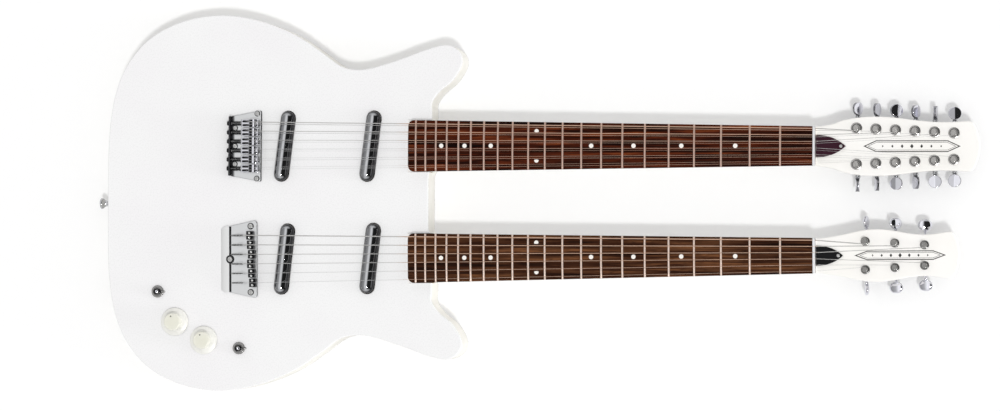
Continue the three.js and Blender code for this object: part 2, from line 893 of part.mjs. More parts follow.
function stringRoutes(neck) {
  const total = neck.courses * neck.stringsInCourse;
  const tuners = eachTuner(neck, (tuner) => tuner);
  const routes = [];
  for (let i = 0; i < total; i += 1) {
    const course = Math.floor(i / neck.stringsInCourse);
    const inPair = (i % neck.stringsInCourse) - (neck.stringsInCourse - 1) / 2;
    const courseShare = 0.5 - course / (neck.courses - 1);
    const saddleY = courseShare * neck.saddleSpread - inPair * neck.saddlePair;
    const nutY = courseShare * neck.nutSpread - inPair * neck.nutPair;
    const bass = i < total / 2;
    const index = bass ? i : total - 1 - i;
    const tuner = tuners.find((t) => t.side === (bass ? 1 : -1) && t.index === index);
    const diameter = lowString * neck.gaugeShares[i];
    const nutZ = nutStringHeight - crown(nutY);
    const startY = courseShare * neck.saddleSpread - inPair * neck.startPair;
    const crestZ = saddleStringHeight - crown(saddleY);
    const points = [
      stringStart(neck, startY),
      new THREE.Vector3(crestX(neck, course), saddleY, crestZ),
      new THREE.Vector3(scaleLength, nutY, nutZ),
      new THREE.Vector3(scaleLength + nutThickness, nutY, nutZ),
      ...postWrap(tuner, diameter),
    ];
    routes.push({ points, diameter });
  }
  return routes;
}

// The strings, held together by the nut that they lie in
function stringSet(neck) {
  const half = neck.nutWidth / 2;
  const bottom = fingerboardTop - fingerboardDepth;
  const nut = block(
    scaleLength, -half, bottom,
    nutThickness, 2 * half, fingerboardDepth + nutHeight,
  );
  const strings = stringRoutes(neck).map(({ points, diameter }) => wire(points, diameter));
  return join([nut, ...strings]);
}

// Tuner pieces

function tunerPost() {
  return turned([
    [0, postBottom],
    [postRadius, postBottom],
    [postRadius, postShoulder],
    [postWaistRadius, postShoulder + (postRadius - postWaistRadius)],
    [postWaistRadius, postTop - postHeadHeight],
    [postRadius, postTop],
    [0, postTop],
  ], postSides);
}

// A button along +Y from its post: a round shaft that flattens into an oval grip
function tunerButton(neck) {
  const start = neck.collarReach - shaftDepth;
  const profile = [[0, start], [neck.shaftRadius, start]];
  const gripStart = neck.buttonReach - neck.buttonLength / 2;
  profile.push([neck.shaftRadius, gripStart]);
  for (let i = 1; i < buttonArcs; i += 1) {
    const angle = Math.PI * i / buttonArcs;
    profile.push([
      neck.buttonWidth / 2 * Math.sin(angle),
      neck.buttonReach - neck.buttonLength / 2 * Math.cos(angle),
    ]);
  }
  profile.push([0, neck.buttonReach + neck.buttonLength / 2]);
  const points = profile.map(([radius, along]) => new THREE.Vector2(radius, along));
  const geometry = new THREE.LatheGeometry(points, collarSides);
  const places = geometry.attributes.position;
  for (let i = 0; i < places.count; i += 1) {
    const grip = places.getY(i) > gripStart;
    if (grip) places.setZ(i, places.getZ(i) * neck.buttonThickness / neck.buttonWidth);
  }
  return geometry;
}

function addTuners(neck, line) {
  eachTuner(neck, ({ x, y, side, index }) => {
    const row = side > 0 ? 'bass' : 'treble';
    const turns = side > 0 ? neck.bassTurns : neck.trebleTurns;
    const label = `${neck.tag}_${row}_${index + 1}`;
    const post = piece(`tuner_post_${label}`, tunerPost(), 'nickel', line);
    post.position.set(x, y, 0);
    const button = piece(`tuner_button_${label}`, tunerButton(neck), 'chrome', line);
    button.position.set(x, y, shaftHeight);
    button.rotation.order = 'ZYX';
    button.rotation.z = side > 0 ? 0 : Math.PI;
    button.rotation.y = THREE.MathUtils.degToRad(turns[index]);
  });
}

// Bridges

function platePath(neck) {
  const shape = new THREE.Shape();
  const [front, rear] = [neck.plateFrontWidth / 2, neck.plateRearWidth / 2];
  shape.moveTo(neck.plateFrontX, -front);
  shape.lineTo(neck.plateFrontX, front);
  shape.lineTo(neck.plateRearX, rear);
  shape.lineTo(neck.plateRearX, -rear);
  return shape;
}

// A saddle bent from strip: a rear wall on the plate, a slotted deck, a crest and a front shelf
function bentSaddle(neck, course, bottom) {
  const y = courseY(neck, course);
  const crest = crestHeight(y) - bottom;
  const rear = crest - saddleRearDrop;
  const deck = crest - saddleDeckDrop;
  const shelf = crest - saddleShelfDrop;
  const profile = new THREE.Shape();
  profile.moveTo(saddleRearX, 0);
  profile.lineTo(saddleRearX, rear);
  profile.lineTo(stringSlotFrontX, deck);
  profile.lineTo(saddleCrestRearX, crest);
  profile.lineTo(saddleCrestFrontX, crest);
  profile.lineTo(saddleCrestFrontX + saddleWall, shelf);
  profile.lineTo(saddleFrontX, shelf);
  profile.lineTo(saddleFrontX, shelf - saddleWall);
  profile.lineTo(saddleCrestFrontX, shelf - saddleWall);
  profile.lineTo(stringSlotFrontX + saddleWall, deck - saddleWall);
  profile.lineTo(saddleRearX + saddleWall, rear - saddleWall);
  profile.lineTo(saddleRearX + saddleWall, 0);
  const geometry = new THREE.ExtrudeGeometry(profile, { depth: saddleWidth, bevelEnabled: false });
  return geometry.rotateX(Math.PI / 2).translate(0, y + saddleWidth / 2, bottom);
}

function bridgeTwelve() {
  const neck = twelve;
  const bottom = bodyDepth + seatGap;
  const top = bottom + plateThickness;
  const rear = neck.plateRearWidth / 2;
  const plate = raised(platePath(neck), bottom, top);
  const flange = block(
    neck.plateRearX, -rear, bottom,
    plateThickness, 2 * rear, plateThickness + flangeHeight,
  );
  const added = [];
  const cutters = [];
  for (let course = 0; course < neck.courses; course += 1) {
    const y = courseY(neck, course);
    added.push(bentSaddle(neck, course, top - seatGap));
    const screw = rod(
      intonationRadius, neck.plateRearX - intonationProud,
      saddleRearX + saddleWall, screwSides,
    );
    const head = rod(
      intonationHeadRadius, neck.plateRearX - intonationProud, neck.plateRearX + seatGap,
      screwSides,
    );
    for (const bar of [screw, head]) {
      added.push(bar.rotateY(Math.PI / 2).translate(0, y, top + intonationHeight));
    }
    for (const half of [-neck.startPair / 2, neck.startPair / 2]) {
      cutters.push(block(
        stringSlotFrontX - stringSlotLength, y + half - stringSlotWidth / 2, top + overrun,
        stringSlotLength, stringSlotWidth, saddleStringHeight - top,
      ));
    }
  }
  return cut(join([plate, flange, ...added]), cutters);
}

function bridgeSix() {
  const neck = six;
  const bottom = bodyDepth + seatGap;
  const top = bottom + plateThickness;
  const plate = raised(platePath(neck), bottom, top);
  const rear = neck.plateRearWidth / 2;
  const reach = neck.plateRearX - tailRollX;
  // The tail rolls down towards the face over a quarter of an ellipse
  const roll = new THREE.Shape();
  roll.moveTo(neck.plateRearX + seatGap, bottom);
  roll.lineTo(neck.plateRearX + seatGap, top);
  for (let i = 0; i <= tailRollSteps; i += 1) {
    const angle = Math.PI / 2 * i / tailRollSteps;
    roll.lineTo(
      neck.plateRearX - reach * Math.sin(angle),
      bottom + plateThickness * Math.cos(angle) ** 2,
    );
  }
  const tail = new THREE.ExtrudeGeometry(roll, { depth: 2 * rear, bevelEnabled: false });
  tail.rotateX(Math.PI / 2).translate(0, rear, 0);
  const added = [];
  for (let course = 0; course < neck.courses; course += 1) {
    const y = courseY(neck, course);
    const width = neck.saddleSpread / (neck.courses - 1) - 2 * seatGap;
    added.push(block(
      crestX(neck, course), y - width / 2, top - seatGap,
      sixSaddleLength, width, crestHeight(Math.abs(y) + width / 2) - top + seatGap,
    ));
  }
  const slot = block(
    neck.plateRearX, -tailSlotLength / 2, bottom - overrun,
    tailSlotWidth, tailSlotLength, 2 * overrun + plateThickness,
  );
  return cut(join([plate, tail, ...added]), [slot]);
}

// Pickups: a chromed tube on two height screws that reach the back board
function pickup() {
  const half = pickupLength / 2;
  const dome = [];
  for (let i = 0; i <= pickupDomeSteps; i += 1) {
    const angle = Math.PI / 2 * i / pickupDomeSteps;
    dome.push([pickupRadius * Math.sin(angle), pickupRadius * (1 - Math.cos(angle)) - half]);
  }
  const farDome = dome.map(([radius, along]) => [radius, -along]).reverse();
  const tube = turned([...dome, ...farDome], pickupSides).rotateX(-Math.PI / 2);
  const screws = [-1, 1].map((end) => {
    const bar = rod(pickupScrewRadius, frameBottom - pickupHeight, 0, screwSides);
    return bar.translate(0, end * (half - pickupScrewInset), 0);
  });
  return join([tube, ...screws]);
}

// Knobs and switches

function knob() {
  const bottom = bodyDepth + knobLift;
  const hollow = bodyDepth + potBushHeight + turnGap;
  return turned([
    [0, bodyDepth + potBushHeight - potShaftDepth],
    [potShaftRadius, bodyDepth + potBushHeight - potShaftDepth],
    [potShaftRadius, hollow],
    [knobHollowRadius, hollow],
    [knobHollowRadius, bottom],
    [knobRadius, bottom],
    [knobRadius, bottom + knobSkirtHeight],
    [knobCapRadius + knobShoulder, bottom + knobSkirtHeight + knobShoulder],
    [knobCapRadius, bodyDepth + knobHeight],
    [0, bodyDepth + knobHeight],
  ], knobSides);
}

function toggleLever() {
  return turned([
    [0, -leverBallRadius],
    [leverBallRadius, 0],
    [leverRadius, leverBallRadius],
    [leverRadius, leverLength / 2],
    [leverTipRadius, leverLength - leverTipRadius],
    [leverTipRadius, leverLength],
    [0, leverLength],
  ], leverSides);
}

// Tail hardware

function outputJack() {
  const profile = [
    [jackBore, 0],
    [jackRadius, 0],
    [jackRadius, jackProud - seatGap - jackNutHeight],
    [jackNutRadius, jackProud - seatGap - jackNutHeight],
    [jackNutRadius, jackProud - seatGap],
    [jackRadius, jackProud - seatGap],
    [jackRadius, jackDepth],
    [jackBore, jackDepth],
    [jackBore, 0],
  ];
  return turned(profile, fittingSides).rotateY(Math.PI / 2);
}

function strapButton() {
  const profile = [
    [0, strapScrewLength],
    [strapScrewRadius, strapScrewLength],
    [strapScrewRadius, -seatGap],
    [strapBaseRadius, -seatGap],
    ...strapNeckShares.map((share) => [strapWaistRadius, -strapLength * share]),
    [strapEndRadius, -strapLength * strapRimShare],
    [strapEndRadius * strapFaceShare, -strapLength],
    [0, -strapLength],
  ];
  return turned(profile, strapSides).rotateY(Math.PI / 2);
}

// Assembly

piece('body_frame', skin(bodyFrame()), 'wood', guitar);
piece('side_tape', skin(sideTape()), 'vinyl', guitar);
piece('back_board', backBoard(), 'whitePaint', guitar);
piece('top_board', skin(topBoard()), 'whitePaint', guitar);

for (const neck of [twelve, six]) {
  const line = new THREE.Group();
  line.position.y = neck.side * lineOffset;
  line.rotation.z = -neck.side * toeIn;
  guitar.add(line);
  piece(`neck_${neck.tag}`, skin(neckPiece(neck)), 'creamPaint', line);
  piece(`fingerboard_${neck.tag}`, fingerboard(neck), 'rosewood', line);
  const coverFinish = neck === twelve ? 'plumPlastic' : 'blackPlastic';
  piece(`truss_rod_cover_${neck.tag}`, trussCover(neck), coverFinish, line);
  const bridge = neck === twelve ? bridgeTwelve() : bridgeSix();
  piece(`bridge_${neck.tag}`, skin(bridge), 'chrome', line);
  piece(`string_set_${neck.tag}`, skin(stringSet(neck)), 'nickel', line);
  for (const [place, x] of Object.entries(pickupPlaces)) {
    const tube = piece(`pickup_${neck.tag}_${place}`, skin(pickup()), 'chrome', line);
    tube.position.set(x, 0, pickupHeight);
    tube.rotation.z = -pickupSlant;
  }
  addTuners(neck, line);
}

knobPlaces.forEach(([x, y], i) => {
  piece(`knob_${i + 1}`, knob(), 'knobPlastic', guitar).position.set(x, y, 0);
});

togglePlaces.forEach(([x, y], i) => {
  const lever = piece(`toggle_lever_${i + 1}`, toggleLever(), 'chrome', guitar);
  lever.position.set(x, y, bodyDepth + toggleBushHeight - toggleBoreDepth / 2);
  lever.rotation.y = leverRest;
});

piece('output_jack', outputJack(), 'chrome', guitar)
  .position.set(jackX - jackProud, jackPlace, sideMiddle);
piece('strap_button_tail', strapButton(), 'chrome', guitar)
  .position.set(-tailReach, 0, sideMiddle);

console.log(`least gap between turns of a string: ${leastWrapGap.toFixed(2)} mm`);

export default guitar;
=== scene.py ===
import bmesh
import bpy
import math
from mathutils import Matrix, Vector


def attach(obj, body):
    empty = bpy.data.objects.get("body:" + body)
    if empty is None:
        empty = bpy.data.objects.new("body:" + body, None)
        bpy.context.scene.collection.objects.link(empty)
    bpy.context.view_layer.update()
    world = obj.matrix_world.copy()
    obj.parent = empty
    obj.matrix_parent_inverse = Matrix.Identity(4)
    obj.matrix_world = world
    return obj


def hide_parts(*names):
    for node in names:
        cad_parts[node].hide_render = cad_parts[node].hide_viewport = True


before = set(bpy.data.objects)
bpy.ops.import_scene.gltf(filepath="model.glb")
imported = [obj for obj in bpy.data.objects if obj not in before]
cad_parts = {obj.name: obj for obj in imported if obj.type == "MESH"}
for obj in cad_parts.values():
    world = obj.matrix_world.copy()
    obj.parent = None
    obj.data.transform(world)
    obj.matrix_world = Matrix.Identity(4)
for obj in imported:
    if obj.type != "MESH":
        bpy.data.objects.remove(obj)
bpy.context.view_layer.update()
print("frame loaded")


def turn(degrees, axis="Z"):
    return Matrix.Rotation(math.radians(degrees), 4, axis)


def at(x, y, z=0.0):
    return Matrix.Translation((x, y, z))


# Pieces are modelled in millimetres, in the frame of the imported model, and scaled when finished
metre = Matrix.Scale(0.001, 4)
zToX, zToY, yToZ, zDown = turn(90, "Y"), turn(-90, "X"), turn(90, "X"), turn(180, "X")
zToBack = turn(-90, "Y")  # along -X, out of the tail

# The two necks, each on a line that starts at its saddles
line = dict(offset=64.4, toeIn=0.36, scaleLength=635.0, nut=3.0, boardEnd=180.0, boardTop=50.0,
            boardDepth=6.0, boardRadius=355.0, frets=21, neckTop=43.97, headTop=40.0, headDepth=14.0,
            lowString=1.2, stringAtSaddle=54.8, stringAtNut=51.9, lip=1.5)
twelve = dict(tag="12", side=1, nutWidth=43.3, endWidth=58.2, nutSpread=36.0, saddleSpread=51.5,
              inCourse=2, nutPair=2.3, saddlePair=2.2, startPair=5.0, wound=8,
              gauges=[1.0, 0.5, 0.8, 0.36, 0.56, 0.26, 0.38, 0.2, 0.3, 0.3, 0.24, 0.24],
              crests=[0.0] * 6, headLength=178.8, headHalf=32.6,
              headShares=[(0.03, 0.68), (0.1, 0.75), (0.17, 0.883), (0.296, 0.99), (0.385, 1),
                          (0.475, 0.969), (0.61, 0.877), (0.743, 0.816), (0.85, 0.822),
                          (0.92, 0.842), (0.945, 0.825), (0.962, 0.76), (0.985, 0.46), (1, 0)],
              posts=6, postRun=(44.4, 150.7), postSpread=(19.9, 14.5), washer=6.2, collar=3.2,
              collarReach=14.0, shaft=1.7, buttonReach=22.6, bassTurns=[50, 65, 25, 55, 88, 12],
              trebleTurns=[86, 74, 22, 60, 4, 8], coverLength=32.5, coverHalf=12.3,
              cover="plumPlastic", wood="redRosewood", frets="dullFrets", nickel="nickelPlate",
              motif=(52.0, 158.0, 6.4))
six = dict(tag="6", side=-1, nutWidth=39.1, endWidth=55.8, nutSpread=34.0, saddleSpread=54.0,
           inCourse=1, nutPair=0.0, saddlePair=0.0, startPair=0.0, wound=4,
           gauges=[1.2, 0.96, 0.78, 0.6, 0.42, 0.36],
           crests=[-7.3, -6.27, -4.99, -6.08, -4.99, -3.97], headLength=156.5, headHalf=28.9,
           headShares=[(0.03, 0.67), (0.1, 0.72), (0.185, 0.8), (0.338, 0.97), (0.44, 1),
                       (0.54, 0.944), (0.662, 0.825), (0.783, 0.787), (0.87, 0.845),
                       (0.92, 0.885), (0.944, 0.88), (0.958, 0.81), (0.984, 0.5), (1, 0)],
           posts=3, postRun=(54.0, 118.6), postSpread=(15.6, 11.3), washer=5.0, collar=2.8,
           collarReach=10.0, shaft=1.4, buttonReach=22.0, bassTurns=[76, 38, 12],
           trebleTurns=[82, 20, 16], coverLength=29.5, coverHalf=11.1,
           cover="blackPlastic", wood="brownRosewood", frets="brightFrets", nickel="dullNickel",
           motif=(42.0, 142.0, 5.2))
necks = [twelve, six]
headStart = line["scaleLength"] + line["nut"]
plates = dict(bottom=40.02, top=42.3)  # of both bridges, which lie a hair above the body
for neck in necks:
    neck["place"] = at(0, neck["side"] * line["offset"]) @ turn(-neck["side"] * line["toeIn"])

materials = {}


# Materials

def linear(hexColour):
    channels = [int(hexColour[i:i + 2], 16) / 255 for i in (0, 2, 4)]
    return [c / 12.92 if c <= 0.04045 else ((c + 0.055) / 1.055) ** 2.4 for c in channels] + [1.0]


# Adds a node; an input given as a socket is linked, and any other value is set
def addNode(tree, kind, inputs={}, stops=(), **settings):
    made = tree.nodes.new("ShaderNode" + kind)
    for name, value in settings.items():
        setattr(made, name, value)
    for i, (place, colour) in enumerate([*stops[:1], *stops[-1:], *stops[1:-1]]):
        elements = made.color_ramp.elements
        stop = elements[i] if i < 2 else elements.new(place)
        stop.position = place
        stop.color = linear(colour) if isinstance(colour, str) else [colour] * 3 + [1.0]
    for name, value in inputs.items():
        if isinstance(value, bpy.types.NodeSocket):
            tree.links.new(value, made.inputs[name])
        else:
            made.inputs[name].default_value = value
    return made


# A pattern in the piece's own space, with a size in millimetres along each axis
def addPattern(tree, sizes, kind="TexNoise", shift=0.0, **inputs):
    places = addNode(tree, "TexCoord")
    mapped = addNode(tree, "Mapping", {"Vector": places.outputs["Object"], "Location": (shift, shift, 0),
                                       "Scale": [1000 / size for size in sizes]})
    return addNode(tree, kind, {"Vector": mapped.outputs[0], "Scale": 1.0, **inputs}).outputs[0]


# Fine relief of the given size and depth in millimetres, with roughness that wanders with it
def addRelief(tree, shader, size, depth, spread, stretch=(1, 1, 1), kind="TexNoise"):
    height = addPattern(tree, [size * s for s in stretch], kind)
    bump = addNode(tree, "Bump", {"Height": height, "Distance": depth / 1000})
    tree.links.new(bump.outputs[0], shader.inputs["Normal"])
    rough = shader.inputs["Roughness"].default_value
    wander = addNode(tree, "MapRange", {"Value": height, "From Min": 0.3, "From Max": 0.7,
                                        "To Min": rough - spread, "To Max": rough + spread})
    tree.links.new(wander.outputs[0], shader.inputs["Roughness"])


# Makes a finish with its relief, and any further sockets of the shader
def addMaterial(name, colour, roughness, metallic, relief, **sockets):
    made = bpy.data.materials.new(name)
    made.use_nodes = True
    shader = made.node_tree.nodes["Principled BSDF"]
    sockets = {"Base Color": linear(colour), "Roughness": roughness, "Metallic": metallic, **sockets}
    for socket, value in sockets.items():
        shader.inputs[socket.replace("_", " ")].default_value = value
    addRelief(made.node_tree, shader, *relief)
    materials[name] = made
    return made.node_tree, shader


# Tints the base colour between two close tones, by a cloudy pattern of the given sizes
def addTint(finish, sizes, darker, lighter):
    tree, shader = finish
    tones = addNode(tree, "ValToRGB", {"Fac": addPattern(tree, sizes)}, [(0.35, darker), (0.65, lighter)])
    tree.links.new(tones.outputs[0], shader.inputs["Base Color"])


# Runs the base colour through tones at places in millimetres along one axis
def tintAlong(finish, axis, tones):
    tree, shader = finish
    low, high = tones[0][0], tones[-1][0]
    places = addNode(tree, "TexCoord")
    parts = addNode(tree, "SeparateXYZ", {0: places.outputs["Object"]})
    rise = addNode(tree, "MapRange", {"Value": parts.outputs[axis], "From Min": low / 1000,
                                      "From Max": high / 1000})
    ramp = addNode(tree, "ValToRGB", {"Fac": rise.outputs[0]},
                   [((place - low) / (high - low), tone) for place, tone in tones])
    tree.links.new(ramp.outputs[0], shader.inputs["Base Color"])


# Sprayed gloss lacquer on hardboard: an even cold white with a faint orange peel
finish = addMaterial("whiteLacquer", "EEEEEF", 0.28, 0.0, (1.6, 0.004, 0.03), Coat_Weight=0.15,
                     Coat_Roughness=0.08)
addTint(finish, [90] * 3, "EEEDEE", "F0F0F0")

# Satin lacquer on the maple necks: a warmer white than the body
finish = addMaterial("creamLacquer", "F9F8F4", 0.36, 0.0, (1.1, 0.003, 0.04), Coat_Weight=0.1,
                     Coat_Roughness=0.2)
addTint(finish, [60] * 3, "F8F6F1", "FBF9F6")

# Vinyl strip round the side: matt, warm, with an embossed leather grain
finish = addMaterial("grainedVinyl", "ECEAE4", 0.55, 0.0, (1.3, 0.12, 0.08, (1, 1, 1), "TexVoronoi"))
addTint(finish, [14] * 3, "E9E7E0", "F0EEE8")

# Sawn pine of the frame, seen only through the pickup slots
finish = addMaterial("sawnPine", "C9A877", 0.8, 0.0, (1.2, 0.08, 0.1, (30, 1, 1)))
addTint(finish, (120, 3, 3), "A98252", "D4B685")


# Oiled rosewood: dark and light streaks along the grain, with short open pores
def addRosewood(name, tones, shift):
    tree, shader = addMaterial(name, tones[1][1], 0.5, 0.0, (0.45, 0.05, 0.08, (16, 1, 1)),
                               Specular_IOR_Level=0.03)
    grain = addPattern(tree, (95, 3.6, 9), shift=shift, Detail=6.0, Roughness=0.62, Distortion=0.5)
    streaks = addNode(tree, "ValToRGB", {"Fac": grain}, tones)
    pores = addNode(tree, "MapRange", {"Value": addPattern(tree, (9, 0.7, 0.7)), "From Min": 0.55,
                                       "From Max": 0.72, "To Max": 0.75})
    mixed = addNode(tree, "Mix", {0: pores.outputs[0], 6: streaks.outputs[0], 7: linear("1A0C08")},
                    data_type="RGBA")
    tree.links.new(mixed.outputs[2], shader.inputs["Base Color"])


addRosewood("redRosewood", [(0.34, "080201"), (0.45, "250B04"), (0.56, "4C1D0C"), (0.7, "7F4121")], 0.0)
addRosewood("brownRosewood", [(0.34, "170A05"), (0.46, "361C0F"), (0.56, "523320"), (0.7, "7A4F32")], 7.0)

# Drawn nickel silver of the frets: pale and warm beside the wood, brighter on the six-string neck
addMaterial("brightFrets", "F8E2D4", 0.3, 0.6, (0.5, 0.003, 0.05))
addMaterial("dullFrets", "D2B4A6", 0.3, 0.6, (0.5, 0.003, 0.05))
# Milk-white plastic of the position dots
addMaterial("dotPlastic", "F3EFE9", 0.3, 0.0, (0.8, 0.003, 0.04))
# Sawn and filed aluminium of the nuts: bright grey with fine lines across
addMaterial("filedAluminium", "D4D5D6", 0.38, 1.0, (0.5, 0.01, 0.06, (1, 8, 1)))
# Bright chrome plate of the tuner buttons and switch levers: a mirror with a cool cast
addMaterial("chromePlate", "E4E4EB", 0.07, 1.0, (7, 0.004, 0.02))
# The rims and shafts of the tuner buttons: a darker chrome, as painted dark reflection of the dark side of
# the room
addMaterial("rimChrome", "8A8A8F", 0.12, 1.0, (2, 0.004, 0.03))
# The plate of the pickup tubes, with painted shade: darker towards the slot that each tube stands in
finish = addMaterial("tubeChromeWithPaintedShade", "BBBCBF", 0.06, 1.0, (7, 0.004, 0.02))
tintAlong(finish, "Z", [(46.2, "3A3A3C"), (48.0, "BBBCBF")])
# Chrome over pressed steel, polished by hand: the same colour, less clear
addMaterial("pressedChrome", "C7C8CA", 0.17, 1.0, (3, 0.01, 0.05))
# Satin chrome of the bridge plates, which blurs what stands on them
addMaterial("satinChrome", "CBCCCD", 0.34, 1.0, (2, 0.006, 0.05))
# The same deck on the twelve-string bridge, with a painted reflection of the dark front of its own flange:
# darker next to the flange
finish = addMaterial("deckChrome", "CBCCCD", 0.34, 1.0, (2, 0.006, 0.05))
tintAlong(finish, "X", [(-27.8, "3C3C3E"), (-25.6, "5C5C5E"), (-23.6, "CBCCCD")])
# Rims and faces of the bridge plates in a darker chrome: painted dark reflection and painted shade
addMaterial("edgeChrome", "6E6E70", 0.2, 1.0, (3, 0.01, 0.05))
addMaterial("shadedChrome", "3C3C3E", 0.3, 1.0, (3, 0.01, 0.05))
# The rolled tail of the six-string bridge: a lighter, rougher and half-metallic chrome that reads as an even
# light grey
addMaterial("rubbedChrome", "E2E2E2", 0.5, 0.35, (2, 0.006, 0.05))
# Nickel plate of posts and washers: greyer and a little warm, duller on the six-string neck
addMaterial("nickelPlate", "A8A6A4", 0.2, 1.0, (1.2, 0.006, 0.06))
addMaterial("dullNickel", "8A8987", 0.2, 1.0, (1.2, 0.006, 0.06))
# Darker nickel of the switch nuts
addMaterial("darkerNickel", "8A8988", 0.26, 1.0, (1.2, 0.01, 0.07))
# Plated screw heads, with tooling marks round the recess
addMaterial("screwSteel", "B4B4B3", 0.28, 1.0, (0.6, 0.008, 0.06))
# Black oxide on grub screws and the small saddles; the same dark is painted shade on the springs, and on the
# blocks, sheet and rings put where shade falls
addMaterial("blackOxideAndPaintedShade", "2B2B2D", 0.38, 0.9, (0.6, 0.006, 0.08))
# Plain steel strings, drawn bright, with painted reflection along their length: greyer over the lacquer,
# warmer over the wood
finish = addMaterial("plainString", "E9E8E5", 0.3, 1.0, (0.6, 0.004, 0.05))
tintAlong(finish, "X", [(165, "C4C4C4"), (185, "CFB09C"), (632, "CFB09C"), (642, "C2C2C1")])
# Nickel-wound strings: a shade warmer, with the ridges of the winding as fine relief, and the same painted
# reflection along their length
finish = addMaterial("woundString", "DEDAD2", 0.36, 1.0, (0.5, 0.03, 0.06, (1, 4, 4)))
tintAlong(finish, "X", [(165, "BEBDBB"), (185, "CDAC96"), (632, "CDAC96"), (642, "B4B3B1")])
# Cream moulded knobs: a soft, slightly green white
finish = addMaterial("knobPlastic", "EEEDE4", 0.34, 0.0, (1.4, 0.004, 0.04), Subsurface_Weight=0.35,
                     Subsurface_Scale=0.01, Subsurface_Radius=(1, 1, 1))
tintAlong(finish, "Z", [(44.0, "F2F1EA"), (53.0, "E2E1D4")])
# Moulded covers of the truss rods, one plum and one black
addMaterial("plumPlastic", "321120", 0.22, 0.0, (1.4, 0.003, 0.05), Specular_IOR_Level=0.12)
addMaterial("blackPlastic", "0A0B0D", 0.22, 0.0, (1.4, 0.003, 0.05), Specular_IOR_Level=0.12)
# Printed black ink under the lacquer of the headstocks
addMaterial("blackInk", "17150F", 0.4, 0.0, (0.7, 0.002, 0.05))
print("materials made")


# Shapes

# Points on the curve that leaves one point towards a second and arrives at a third
def bend(start, towards, end, steps):
    shares = [s / steps for s in range(steps + 1)]
    return [start * (1 - t) ** 2 + towards * 2 * t * (1 - t) + end * t * t for t in shares]


# Points round a centre, between two angles given in half turns
def arc(centre, radius, start, end, steps):
    angles = [math.pi * (start + (end - start) * s / steps) for s in range(steps + 1)]
    return [(centre[0] + radius * math.cos(a), centre[1] + radius * math.sin(a)) for a in angles]


# Softens the corners of a run of points: a third value is how far each corner is cut back
def softened(points, steps=4):
    run = []
    for i, (x, y, *cutBack) in enumerate(points):
        here = Vector((x, y))
        if cutBack:
            before = Vector(points[i - 1][:2]) - here
            after = Vector(points[(i + 1) % len(points)][:2]) - here
            run += bend(here + before.normalized() * cutBack[0], here,
                        here + after.normalized() * cutBack[0], steps)
        else:
            run.append(here)
    return run


# A smooth centripetal run through chosen points
def smoothRun(points, steps):
    chosen = [Vector(p) for p in points]
    chosen = [2 * chosen[0] - chosen[1], *chosen, 2 * chosen[-1] - chosen[-2]]
    run = []
    for x0, x1, x2, x3 in zip(chosen, chosen[1:], chosen[2:], chosen[3:]):
        d0, d1, d2 = [math.sqrt((b - a).length) for a, b in ((x0, x1), (x1, x2), (x2, x3))]
        t1 = ((x1 - x0) / d0 - (x2 - x0) / (d0 + d1) + (x2 - x1) / d1) * d1
        t2 = ((x2 - x1) / d1 - (x3 - x1) / (d1 + d2) + (x3 - x2) / d2) * d1
        for t in (s / steps for s in range(steps)):
            square = (3 * (x2 - x1) - 2 * t1 - t2) * t * t
            run.append(x1 + t1 * t + square + (2 * (x1 - x2) + t1 + t2) * t ** 3)
    return run + [chosen[-2]]


def mirrored(half):
    return [(x, -y) for x, y in reversed(half[1:])] + list(half)


# Moves a closed run inwards, with mitred corners
def insetRun(points, distance):
    area = sum(a.x * b.y - b.x * a.y for a, b in zip(points, points[1:] + points[:1]))
    run = []
    for before, here, after in zip(points[-1:] + points, points, points[1:] + points[:1]):
        sides = [(here - before).normalized(), (after - here).normalized()]
        normals = [Vector((-s.y, s.x)) * math.copysign(1, area) for s in sides]
        run.append(here + (normals[0] + normals[1]) * distance / (1 + normals[0].dot(normals[1])))
    return run


def bevelled(bm, edges, width, segments=3):
    bmesh.ops.bevel(bm, geom=list(edges), offset=width, segments=segments, profile=0.5,
                    affect="EDGES", material=-1, clamp_overlap=True)


def liftFaces(bm, faces, height):
    lifted = bmesh.ops.extrude_face_region(bm, geom=faces)["geom"]
    upper = [v for v in lifted if isinstance(v, bmesh.types.BMVert)]
    bmesh.ops.translate(bm, verts=upper, vec=(0, 0, height))


# A plan outline raised from one height to another, with softened rims
def raised(points, bottom, top, topBevel=0.0, bottomBevel=0.0, segments=3):
    bm = bmesh.new()
    liftFaces(bm, [bm.faces.new([bm.verts.new((x, y, bottom)) for x, y in points])], top - bottom)
    for height, width in ((top, topBevel), (bottom, bottomBevel)):
        if width:
            rim = [e for e in bm.edges if all(abs(v.co.z - height) < 0.001 for v in e.verts)]
            bevelled(bm, rim, width, segments)
    return bm


# A flat band inside a closed run, between two heights
def bandOf(points, width, bottom, top):
    inner = insetRun(points, width)
    bm = bmesh.new()
    rings = [[bm.verts.new((p.x, p.y, z)) for p in run]
             for run, z in ((points, bottom), (points, top), (inner, top), (inner, bottom))]
    for ring, following in zip(rings, rings[1:] + rings[:1]):
        for i in range(len(points)):
            bm.faces.new((ring[i - 1], ring[i], following[i], following[i - 1]))
    return bm


# A profile of radius and height turned round Z
def turned(points, steps=32):
    bm = bmesh.new()
    verts = [bm.verts.new((max(radius, 0.0), 0, height)) for radius, height in softened(points)]
    edges = [bm.edges.new(pair) for pair in zip(verts, verts[1:])]
    bmesh.ops.spin(bm, geom=verts + edges, cent=(0, 0, 0), axis=(0, 0, 1), angle=2 * math.pi,
                   steps=steps, use_merge=True)
    bmesh.ops.remove_doubles(bm, verts=bm.verts, dist=0.002)
    return bm


